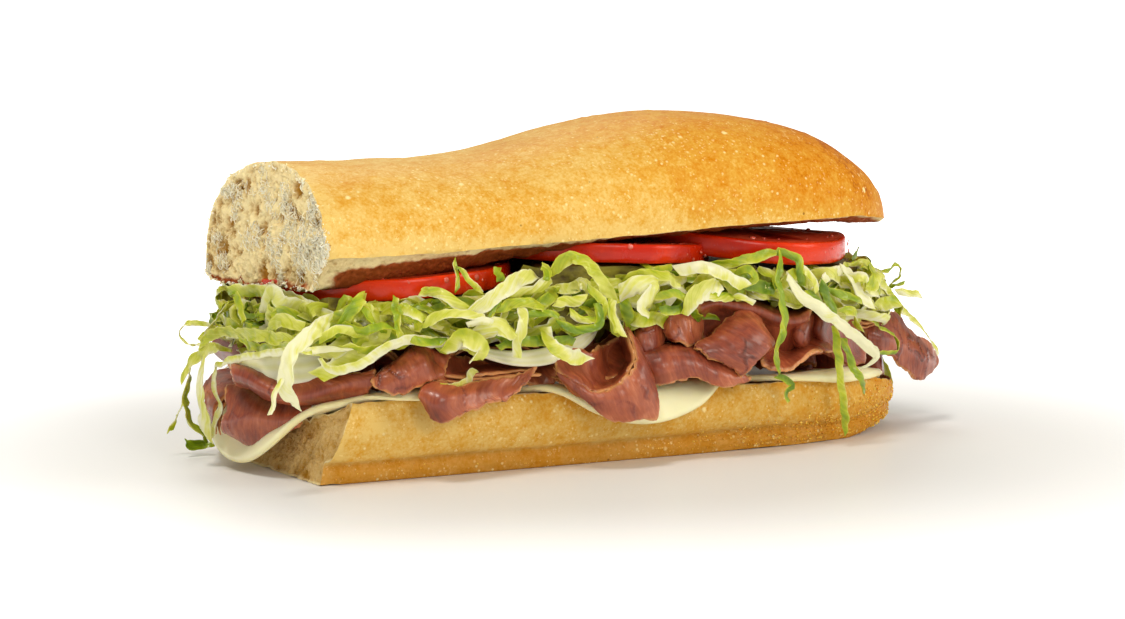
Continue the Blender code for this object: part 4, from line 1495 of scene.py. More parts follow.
@dataclass
class Loaf:
    """Both rolls with their crumb strands, their grains and their crumbs."""

    strands: int = 2300
    grains: int = 9000
    crumbs: int = 260
    seed: int = 21

    def make_strands(self, form: Form, cap: Array, depth: Array, rng: np.random.Generator) -> None:
        """Adds the fine torn strands of crumb that bridge the pits of a torn end.

        Args:
            form: The piece that gets them.
            cap: The torn end's grid.
            depth: How deep each place of it lies.
            rng: The random numbers.
        """
        count = self.strands
        rows, columns = cap.shape[:2]
        i = rng.integers(3, rows - 3, 3 * count)
        j = rng.integers(5, columns - 5, 3 * count)
        cloud = Grain(self.seed + 4).wave(cap[i, j], 9 * MM, 2) + rng.normal(0, 0.12, 3 * count)
        cloud = cloud - cap[i, j, 1] / (130 * MM)
        kept = np.argsort(-cloud)[:count]
        i, j = i[kept], j[kept]
        base = cap[i, j].copy()
        base[:, 0] -= np.minimum(depth[i, j], 0.9 * MM) * rng.uniform(0.2, 1.0, count)
        turn = rng.uniform(0, math.pi, count) * 0.75 + 0.3
        long = rng.uniform(0.6, 2.1, count) ** 1.15 * MM
        way = np.stack([rng.normal(0, 0.3, count), np.cos(turn), np.sin(turn)], axis=1)
        steps = 6
        t = np.linspace(-0.5, 0.5, steps)
        bend = rng.normal(0, 0.28, (count, 3)) * long[:, None]
        bend[:, 0] = -np.abs(bend[:, 0]) * 0.8
        arch = (0.25 - t**2)[None, :, None] * 4
        straight = way[:, None] * (t[None, :, None] * long[:, None, None])
        routes = base[:, None] + straight + bend[:, None] * arch
        routes = routes + rng.normal(0, 0.07 * MM, routes.shape)
        thin = rng.uniform(0.05, 0.19, count)[:, None] * MM * (0.55 + 0.45 * np.cos(t * 2.4))[None]
        low, high = cap[0, :, 2].min(), cap[-1, :, 2].max()
        inside = (routes[..., 2].min(1) > low + 0.2 * MM) & (routes[..., 2].max(1) < high - 0.6 * MM)
        add_tubes(form, routes[inside], thin[inside], tone=rng.uniform(0, 0.6, inside.sum()))

    def make_grains(self, form: Form, roll: BottomRoll, rng: np.random.Generator) -> None:
        """Adds the coarse golden grains that stick to the foot and the rounded end.

        Args:
            form: The piece that gets them.
            roll: The bottom roll.
            rng: The random numbers.
        """
        tries = self.grains * 3
        x = np.sort(rng.uniform(roll.cut_x + 1 * MM, roll.tip - 0.4 * MM, tries))
        lower, _ = roll.section(x)
        k = rng.integers(1, roll.columns, tries)
        at = lower[np.arange(tries), k]
        points = np.column_stack([x, at])
        points[:, 0] += roll.lean(points)
        right = ease((x + 20 * MM) / (95 * MM))
        z = points[:, 2]
        foot = ease((roll.band_height * 1.05 - z) / (1.0 * MM))
        reach = (1.5 + 15 * right**1.5) * MM
        cloud = Grain(self.seed).wave(points, 9 * MM, 2)
        chance = foot * (0.16 + 0.9 * right) + right**1.3 * 0.75 * np.clip(1 - (z - 4 * MM) / reach, 0, 1)
        chance = chance * (0.75 + 0.8 * cloud)
        kept = (rng.random(tries) < chance) & (z > 0.5 * MM)
        points, right = points[kept][: self.grains], right[kept][: self.grains]
        outward = points.copy()
        outward[:, 0] = np.where(points[:, 0] > 60 * MM, points[:, 0] - 60 * MM, 0)
        outward[:, 2] = 0
        outward = unit(outward)
        sizes = rng.uniform(0.13, 0.34, len(points)) * MM * (0.75 + 0.35 * right)
        add_grit(form, points + outward * 0.15 * MM, sizes, self.seed, tone=rng.random(len(points)))

    def make_crumbs(self, form: Form, cap: Array, rng: np.random.Generator) -> None:
        """Adds loose crumbs round the rim of a torn end.

        Args:
            form: The piece that gets them.
            cap: The torn end's grid.
            rng: The random numbers.
        """
        rows, columns = cap.shape[:2]
        count = self.crumbs
        i = np.where(rng.random(count) < 0.5, rows - 2 - rng.integers(0, 4, count), 1)
        j = rng.integers(2, columns - 2, count)
        base = cap[i, j] + rng.normal(0, 0.25 * MM, (count, 3))
        base[:, 2] = np.maximum(base[:, 2], 0.7 * MM)
        add_grit(form, base, rng.uniform(0.15, 0.55, count) * MM, self.seed + 2, tone=rng.random(count))

    def build(self) -> BottomRoll:
        """Builds both rolls and dresses them.

        Returns:
            The bottom roll, which the cheese lies on.
        """
        rng = np.random.default_rng(self.seed)
        crust = CrustFinish().dress("crust_and_crumb")
        white = GritFinish(paint(255, 252, 232), paint(251, 234, 184), 0.35, 0.1).dress("crumb_strands")
        corn = GritFinish(paint(255, 220, 92), paint(232, 160, 22), 0.25).dress("golden_grains")
        # The bottom roll's torn end gets strong painted shade.
        bottom = BottomRoll("bottom_roll", 92 * MM, 7 * MM, 0, 21 * MM, 1.5, 3, end_shade=0.8, open=0.5)
        top = TopRoll("top_roll", 89 * MM, 2.5 * MM, 55 * MM, 76.4 * MM, 2.0, 5)
        for roll in (bottom, top):
            form, cap, depth = roll.build(crust)
            place(form.piece(f"{roll.name}_loaf", [crust], roll.sharp), Slot.CRUST, roll.name)
        torn = Form()
        self.make_strands(torn, cap, depth, rng)
        self.make_crumbs(torn, cap, rng)
        place(torn.piece("torn_crumb", [white]), Slot.CRUST)
        grains = Form()
        self.make_grains(grains, bottom, rng)
        place(grains.piece("stuck_grains", [corn]), Slot.CRUST)
        return bottom


@dataclass
class CheeseSlices:
    """Round slices that lie on the bottom roll and bend over its edges."""

    roll: BottomRoll
    thick: float = 1.8 * MM
    lift: float = 0.45 * MM
    rings: int = 48
    spokes: int = 180
    bend_x: float = -88.5 * MM
    bend_x_radius: float = 9 * MM
    bend_x_most: float = math.radians(62)
    bend_y_inside: float = 2.0 * MM
    bend_y_radius: float = 5 * MM
    bend_y_most: float = math.radians(78)
    probe: float = 0.4 * MM
    ripple: float = 0.35 * MM
    soft_rim: float = 0.8 * MM
    thin_rim: float = 0.55 * MM

    @staticmethod
    def hang(s: Array, radius: float, most: float) -> tuple[Array, Array]:
        """How a sheet bends over an edge.

        Args:
            s: How far past the edge each place is, along the sheet.
            radius: The bend's radius.
            most: The steepest angle that it reaches.

        Returns:
            How far out and how far down each place comes to lie.
        """
        angle = np.minimum(s / radius, most)
        rest = np.maximum(0.0, s - radius * most)
        return (
            radius * np.sin(angle) + rest * math.cos(most),
            radius * (1 - np.cos(angle)) + rest * math.sin(most),
        )

    def draped(self, x: Array, y: Array) -> Array:
        """Where places of a flat slice come to rest on the roll.

        Args:
            x: Places along the flat slice.
            y: Places across it.

        Returns:
            The places in space.
        """
        reach_x, drop_x = self.hang(np.maximum(0.0, self.bend_x - x), self.bend_x_radius, self.bend_x_most)
        along = np.maximum(x, self.bend_x)
        rim = self.roll.half(along) - self.bend_y_inside
        reach_y, drop_y = self.hang(np.maximum(0.0, np.abs(y) - rim), self.bend_y_radius, self.bend_y_most)
        inside = np.minimum(np.abs(y), rim)
        z = self.roll.cut_height(along, inside) - drop_x - drop_y
        return np.stack([along - reach_x, np.sign(y) * (inside + reach_y), z], axis=-1)

    def slice(
        self, number: int, centre: tuple[float, float], radius: float, low_x: float, high_x: float
    ) -> Form:
        """One slice.

        Args:
            number: Which slice it is, for its own unevenness.
            centre: Its middle in plan, in millimetres.
            radius: Its radius in millimetres.
            low_x: Where it starts to climb onto the slice below it, in millimetres.
            high_x: Where it has climbed.

        Returns:
            The slice's form.
        """
        share = np.concatenate([[0.001], np.linspace(0, 1, self.rings)[1:] ** 0.8])
        angle = np.arange(self.spokes) * 2 * math.pi / self.spokes
        uneven = 1 + 0.006 * np.sin(3 * angle + number) + 0.004 * np.sin(7 * angle + 2 * number)
        x = centre[0] * MM + radius * MM * share[:, None] * (uneven * np.cos(angle))[None]
        y = centre[1] * MM + radius * MM * share[:, None] * (uneven * np.sin(angle))[None]
        along = self.draped(x + self.probe, y) - self.draped(x - self.probe, y)
        across = self.draped(x, y + self.probe) - self.draped(x, y - self.probe)
        normal = unit(np.cross(along, across))
        climb = ease((x / MM - low_x) / (high_x - low_x)) if high_x != low_x else np.zeros_like(x)
        middle = self.draped(x, y)
        height = self.lift + 0.5 * self.thick + climb * (self.thick + self.lift)
        middle = middle + normal * height[..., None]
        grain = Grain(31 + number)
        ripple = self.ripple * grain.wave(middle, 16 * MM, 2)
        middle = middle + normal * ripple[..., None]
        left = (1 - share[:, None]) * radius * MM
        edge = np.broadcast_to(ease(1 - left / self.soft_rim), x.shape)
        thin = self.thick * np.sqrt(np.clip(1 - ease(1 - left / self.thin_rim) * 0.9, 0.03, 1))
        half = normal * (0.5 * np.broadcast_to(thin, x.shape))[..., None]
        form = Form()
        size = x.size
        face = grid_faces(len(share), self.spokes, closed=True)
        ring = np.arange(self.spokes)
        nxt = np.roll(ring, -1)
        last = size - self.spokes
        rim = np.stack([last + ring, last + ring + size, last + nxt + size, last + nxt], axis=1)
        caps = np.stack([ring, ring[::-1] + size])
        points = np.concatenate([(middle + half).reshape(-1, 3), (middle - half).reshape(-1, 3)])
        form.add(points, [face, (face + size)[:, ::-1], rim, caps], edge=np.tile(edge.ravel(), 2))
        return form

    def build(self) -> None:
        """Builds and dresses the three slices."""
        coat = CheeseFinish().dress("cheese")
        plan = (
            ("cheese_middle", (-7, -6), 40, 0, 0),
            ("cheese_left", (-65, 2), 40.5, -62, -54),
            ("cheese_right", (48, -1), 37, 31, 24),
        )
        for number, (name, centre, radius, low_x, high_x) in enumerate(plan):
            form = self.slice(number, centre, radius, low_x, high_x)
            place(form.piece(f"{name}_slice", [coat]), Slot.CHEESE, name)


Knot = tuple[float, float, float]

# The folds that show at the front, each with the slice that it belongs to
SHOWN_BEEF: tuple[tuple[str, tuple[tuple[Knot, ...], ...]], ...] = (
    ("beef_end_fold", (
        ((-100.7, 4, 20.6), (-98.4, 0, 21.4), (-95.4, -5, 19.8),
         (-92, -10, 18.9), (-90.1, -16, 20), (-89.2, -20, 21.4)),
        ((-102.3, 1, 18.8), (-100.4, -4, 19.2), (-97.9, -10, 18),
         (-94.7, -15, 17.4), (-93, -20, 17.4), (-90.3, -23, 18.6)),
        ((-103.4, -1, 15.6), (-102.2, -7, 16), (-100, -13, 15.3),
         (-97.1, -18, 15), (-94.7, -22, 15.3), (-91.3, -24, 17.3)),
        ((-104.4, 0, 12.3), (-102.9, -6, 12.4), (-99.7, -11, 11.6),
         (-96.8, -16, 12), (-94.6, -20, 13.1), (-92.5, -23, 15.1)),
        ((-103.6, 2, 10.5), (-101.5, -2, 9.1), (-97.9, -6, 6.6),
         (-95.9, -12, 8.7), (-94.1, -17, 11.7), (-92.7, -21, 13.8)),
        ((-99.9, 9, 9.3), (-97.8, 5, 8.4), (-94.2, 2, 6.8),
         (-91.9, -4, 8.6), (-90.7, -10, 11.6), (-89.7, -15, 13.9)),
    )),
    ("beef_end_roll", (
        ((-101.2, 2, 26.6), (-99, -6, 27.3), (-97.1, -14, 26.6),
         (-93.6, -24, 25.5), (-87.3, -31, 26.4), (-79, -36, 27.9)),
        ((-104.9, -8, 26.6), (-102.4, -14, 26.4), (-99.8, -20, 24.7),
         (-94.5, -26, 23.6), (-87.7, -33, 24.7), (-80, -37, 26.1)),
        ((-104.8, -9, 24.8), (-103.3, -16, 24.2), (-100.7, -22, 22.3),
         (-95.5, -27, 21.1), (-87.8, -32, 22.9), (-80.1, -36, 24.1)),
        ((-101.9, -4, 22.3), (-100.2, -10, 21.6), (-98.1, -16, 19.7),
         (-94.5, -21, 18.9), (-87.1, -27, 19.6), (-79.8, -32, 20.9)),
    )),
    ("beef_left_wing", (
        ((-76.7, -30, 24.4), (-71.9, -28, 26.3), (-67.2, -26, 28.6), (-63.9, -25, 30.7),
         (-60.1, -24, 31.7), (-55.8, -23, 31.3), (-51, -23, 29.3)),
        ((-81.3, -38, 25.6), (-77.8, -38, 27.8), (-73.8, -37, 29.6), (-70.1, -36, 32),
         (-66.4, -35, 32.7), (-61.8, -34, 31.8), (-57.5, -34, 29.8)),
        ((-81.8, -39, 25.3), (-78.8, -40, 26.9), (-75.5, -40.5, 28.7), (-71.8, -40, 30.3),
         (-68.1, -39.5, 31.5), (-64.7, -38, 29.2), (-60.6, -37, 27.9)),
        ((-81.5, -39.5, 24.3), (-79, -41, 25.1), (-76.5, -42.5, 26.1), (-73.3, -43, 27.4),
         (-69.3, -42.5, 28.8), (-65.9, -41, 26.4), (-61.6, -39, 26.4)),
        ((-80.7, -39.5, 24), (-78.7, -41, 23.4), (-76.9, -42, 22.2), (-73.9, -42, 23.2),
         (-71, -42.5, 23.8), (-67, -41.5, 24.9), (-63, -39, 25.1)),
    )),
    ("beef_left_flap", (
        ((-68.6, -41, 24.4), (-65.9, -42, 24.8), (-62.3, -42.5, 23.7), (-57.2, -42, 23.8),
         (-51.5, -41, 24.6), (-45.7, -40.5, 24.9), (-41.2, -40, 25.5), (-37.3, -39.5, 26.5)),
        ((-70.7, -42.5, 22.3), (-68.2, -45, 22.4), (-64.6, -46.5, 21.9), (-58.5, -44.5, 21.7),
         (-52.5, -43, 22.2), (-46.8, -42, 22.4), (-42.6, -41.5, 23.3), (-38.2, -40.5, 25.7)),
        ((-69.9, -42.5, 19.6), (-68.4, -46, 19.4), (-65.2, -47, 19.1), (-59.3, -45.5, 19),
         (-53.9, -44.5, 19.7), (-48.1, -43.5, 20.5), (-43.4, -42.5, 22), (-39, -41, 24.8)),
        ((-67.8, -43, 16.3), (-66.3, -45, 15.8), (-64.7, -46.5, 16.1), (-59.7, -45.8, 16.9),
         (-54.6, -44.8, 18.1), (-48.4, -44, 19.2), (-43.4, -43, 21.1), (-39.8, -41.5, 23.9)),
    )),
    ("beef_left_top", (
        ((-64, -34, 31.7), (-58.4, -32, 30.6), (-51.3, -29, 28.2), (-42.8, -26, 26.1),
         (-35.7, -26, 24.9), (-29.7, -27, 25.4), (-25, -30, 26.5)),
        ((-64.2, -37, 28.3), (-59.1, -34.5, 27.5), (-51.8, -31.5, 25.7), (-44.4, -29, 24.3),
         (-37.9, -29, 23.6), (-31.9, -30, 23.9), (-27.8, -34, 24.6)),
        ((-64.3, -40, 24.8), (-60.1, -38, 23.8), (-54.1, -36, 23.2), (-48.1, -35, 23.4),
         (-41.4, -34, 22.9), (-33.5, -33, 20.8), (-28.4, -35, 20.7)),
    )),
    ("beef_middle_cup", (
        ((-32.8, -40, 26.5), (-29.1, -43.5, 23.5), (-25.4, -46, 20.3), (-19.8, -47, 21),
         (-14.9, -46.5, 23.4), (-11.7, -45, 26.8), (-10.8, -42, 30.5), (-10.3, -38, 34.6)),
        ((-32, -41, 24.6), (-28.6, -44.5, 21.5), (-24.3, -47, 18.6), (-19.2, -48, 18.4),
         (-14, -48, 20), (-10.6, -46.5, 23.9), (-9.7, -43.5, 28.5), (-10, -39, 33.4)),
        ((-30.3, -41.5, 22.6), (-27.1, -45, 19.5), (-22.3, -47, 15.7), (-17.8, -48, 15),
         (-12, -48, 16.1), (-8.5, -46.5, 20), (-8.2, -44, 25.5), (-9.4, -40, 32.2)),
        ((-28.6, -41.5, 20.4), (-25.2, -44.5, 17.8), (-20.6, -46.5, 13.4), (-15.4, -47.5, 12.7),
         (-8.8, -47, 12.4), (-6, -46, 14), (-6.5, -44.5, 19.9), (-7.9, -41, 29.2)),
    )),
    ("beef_middle_cup", (
        ((-29.5, -36, 29.4), (-24.6, -37, 29.7), (-19.8, -37, 29.9),
         (-12.3, -31, 30.4), (-8.2, -31, 32.2), (-9.7, -37, 34.4)),
        ((-32, -39, 27.4), (-26.3, -39.5, 27.1), (-19.5, -38, 27),
         (-10.9, -30, 26.7), (-7.6, -31, 28.1), (-10.5, -41, 30.6)),
        ((-32, -41.5, 25.1), (-27.4, -42, 24.7), (-19.5, -39, 24.1),
         (-12.3, -34, 23.6), (-9.7, -36, 24.7), (-11.4, -44, 27.2)),
        ((-30, -43, 23.7), (-27.4, -44, 22.7), (-22.3, -42.5, 21.2),
         (-16.6, -41, 21.1), (-14, -43, 23), (-13.5, -45.5, 25)),
        ((-29.1, -43.4, 23.2), (-26.9, -45, 21), (-24.3, -45.9, 19.9),
         (-20, -46.9, 20.8), (-16.1, -46.6, 22.5), (-14.2, -46.3, 23.8)),
    )),
    ("beef_middle_flap", (
        ((-1.7, -32, 27.9), (3.6, -31, 29), (8.7, -31, 29.2), (13.8, -31, 28.4),
         (18, -32, 26.7), (22.5, -33, 24.8), (27.1, -33, 21.9)),
        ((-7.3, -40, 27.5), (-3, -41, 28.6), (1.7, -41.5, 28.9), (6.7, -41.5, 28.1),
         (11.2, -42, 26.4), (15.7, -42.5, 24.4), (20.5, -42.5, 21.5)),
        ((-7.1, -41.5, 25.6), (-3.9, -43.5, 26.7), (0.5, -44, 27), (5.8, -44, 26.2),
         (10.3, -44.5, 24.2), (14.7, -45, 22.4), (20.8, -44, 20.9)),
        ((-6.2, -42, 23.1), (-3.9, -44.5, 24), (0.5, -45, 24.6), (5.8, -45, 24),
         (10.2, -45.5, 22), (15.3, -45.5, 20.6), (22, -44, 20.3)),
        ((-5, -42, 20.5), (-2.1, -44, 20.8), (2, -44.5, 21.4), (6.7, -45, 21.4),
         (11.2, -45, 19.3), (16.2, -45, 19), (23.8, -43, 20.4)),
    )),
    ("beef_middle_rolls", (
        ((-7, -36.5, 33.5), (-4.7, -37.5, 35.2), (-1.2, -37, 36.3), (2.7, -35.5, 34.9)),
        ((-8.2, -38, 31.3), (-6.5, -39.5, 32.7), (-3.3, -38.5, 33.8), (1.8, -36.5, 32.3)),
        ((-7.6, -38, 28.8), (-6.5, -40.5, 29.3), (-3.3, -40, 29.8), (1.5, -36, 29.9)),
        ((-5.9, -37, 26.6), (-4.7, -39, 26.8), (-1.5, -38, 27.2), (2.4, -35, 27.4)),
    )),
    ("beef_middle_rolls", (
        ((2.4, -34, 35.1), (4.4, -35.5, 38.1), (8, -36, 38.4), (12.5, -34.5, 37.8), (16.2, -32, 35.4)),
        ((0.6, -37, 34.4), (2.3, -38.5, 36.3), (5.3, -38.5, 36.5), (9.5, -37.5, 35.4), (14, -34.5, 32.5)),
        ((1.2, -38.5, 32.7), (1.4, -40.5, 33.4), (4.1, -40.5, 33.1), (7.3, -39.5, 31.8), (12.5, -36.5, 30.2)),
        ((3, -39, 30.8), (2.6, -41, 30.8), (4.4, -41.5, 29.8), (6.2, -41, 29.1), (10.4, -38, 29.2)),
    )),
    ("beef_fan", (
        ((5.8, -42, 28.5), (10.3, -41, 30.7), (15.1, -40, 33.4),
         (19.6, -39, 35.9), (24.1, -38.5, 37.6), (27.8, -38, 35.9)),
        ((7.3, -44, 27.8), (11.1, -44.5, 29.7), (15.9, -44, 32.2),
         (20.4, -43.5, 34.2), (24.9, -42.5, 34.9), (28.6, -41, 32.7)),
        ((10.5, -45, 26.2), (13.4, -46.5, 27.8), (17.9, -46.5, 29.8),
         (22.1, -46, 31.3), (26.1, -45, 31.5), (29.5, -43.5, 29.9)),
        ((15, -45.5, 24.2), (17, -47, 25), (20.9, -47, 26.6),
         (24.2, -46.5, 27.9), (27, -45.5, 28.7), (29.5, -44, 29.1)),
        ((18.9, -45.5, 21.4), (20.1, -46.5, 22.3), (22.2, -46.5, 23.7),
         (24, -46, 25.6), (26.1, -45.5, 27.2), (29.2, -44, 28.6)),
    )),
    ("beef_right_top", (
        ((22.6, -22, 39.1), (27.8, -22, 40.2), (34, -22, 39.1), (40.2, -22, 37.7),
         (46.5, -22, 35.5), (52.2, -22, 34.7), (57.6, -22, 36)),
        ((11.5, -37, 38.9), (16, -38, 40.1), (21.7, -38.5, 39.1), (27.5, -39, 37.8),
         (33.3, -39.5, 35.5), (39.1, -39.5, 34.6), (44.7, -38.5, 36.1)),
        ((13.1, -35, 36.6), (17.9, -35.5, 37.2), (23.6, -36, 36.2), (29.1, -37, 34.9),
         (34.3, -38, 32.9), (39.5, -38, 31.9), (45.1, -37, 32.8)),
        ((14.9, -32, 32.6), (21, -31, 32.7), (27.1, -31, 31.9), (31.7, -33, 30.8),
         (35.9, -35, 29.2), (40.6, -35, 27.9), (46.2, -34, 28.5)),
        ((16.5, -30, 27.4), (22.9, -28, 26.8), (29, -28, 26.2), (33, -31, 25.8),
         (37.9, -32, 24.3), (42.3, -32, 23.5), (47.6, -31, 24.1)),
    )),
    ("beef_right_boat", (
        ((30.6, -38, 26.1), (38.2, -33, 27), (44.1, -31, 28.3),
         (48.2, -32, 29.2), (51.9, -34, 27.1), (55.1, -34, 24.8)),
        ((28.7, -40, 24.9), (36.3, -35, 25), (42.2, -33, 25.5),
         (45.6, -35, 27), (48, -38, 26.4), (51.5, -37, 24.8)),
        ((28.7, -41, 23.4), (33.4, -39, 23.5), (38.3, -38, 23.6),
         (41.7, -39, 25.1), (45.1, -40, 26), (48.5, -39, 25.2)),
        ((29.6, -41.5, 22.2), (32.1, -42, 21.8), (35.7, -42, 21.6),
         (39.4, -41.5, 22.9), (43.1, -41.5, 25.5), (45.9, -41, 26.1)),
    )),
    ("beef_right_inner", (
        ((41.2, -33, 33.4), (42.7, -35, 35.3), (45.5, -35, 35.7), (49.3, -33, 34.8),
         (51.2, -34, 36.1), (55.4, -32, 34.7), (61.2, -30, 32.6), (68.1, -28, 31)),
        ((39.6, -36, 30.9), (39.8, -39, 32), (42.2, -39.5, 32.4), (47.7, -35, 32.7),
         (48.9, -37, 33.1), (53.4, -34, 31.5), (60.6, -31, 29), (67.4, -29, 27.3)),
        ((41.5, -35, 28.1), (40.8, -38.5, 27.9), (42.6, -38.5, 28.1), (47.8, -34, 29.5),
         (48.9, -36.5, 29.4), (54.1, -33, 27.4), (60.9, -31, 24.2), (68.8, -28, 22.3)),
        ((47, -30, 24.3), (48.9, -30, 23.7), (51.1, -30, 23.6), (54, -30, 23.4),
         (56.5, -30, 22.7), (59.1, -30, 21.5), (63.6, -29, 19.8), (70.9, -26, 19.3)),
    )),
    ("beef_tip_flap", (
        ((73.5, -22, 29), (79.5, -20, 30.7), (85.5, -17, 31.7), (89.7, -15, 29.1),
         (94.8, -13, 25.1), (100.7, -11, 22.9), (106, -9, 19)),
        ((71.5, -24, 28), (76.8, -23, 28.4), (83.1, -20.5, 28.4), (88.2, -18.5, 26.2),
         (93, -17, 23.1), (98.5, -15, 20.3), (106.3, -10, 16.3)),
        ((70.9, -24.5, 26.7), (75.4, -24.5, 25.9), (80.7, -23, 24.9), (86.2, -21, 22.8),
         (91.6, -19, 19.5), (96.5, -17, 16.8), (103.8, -12, 14.7)),
        ((73.2, -23, 24.5), (76.8, -23, 22.7), (81.9, -21.5, 20.1), (87.7, -19, 16.7),
         (92.1, -17, 14.3), (95.6, -15, 12.2), (100.8, -12, 12.6)),
    )),
)


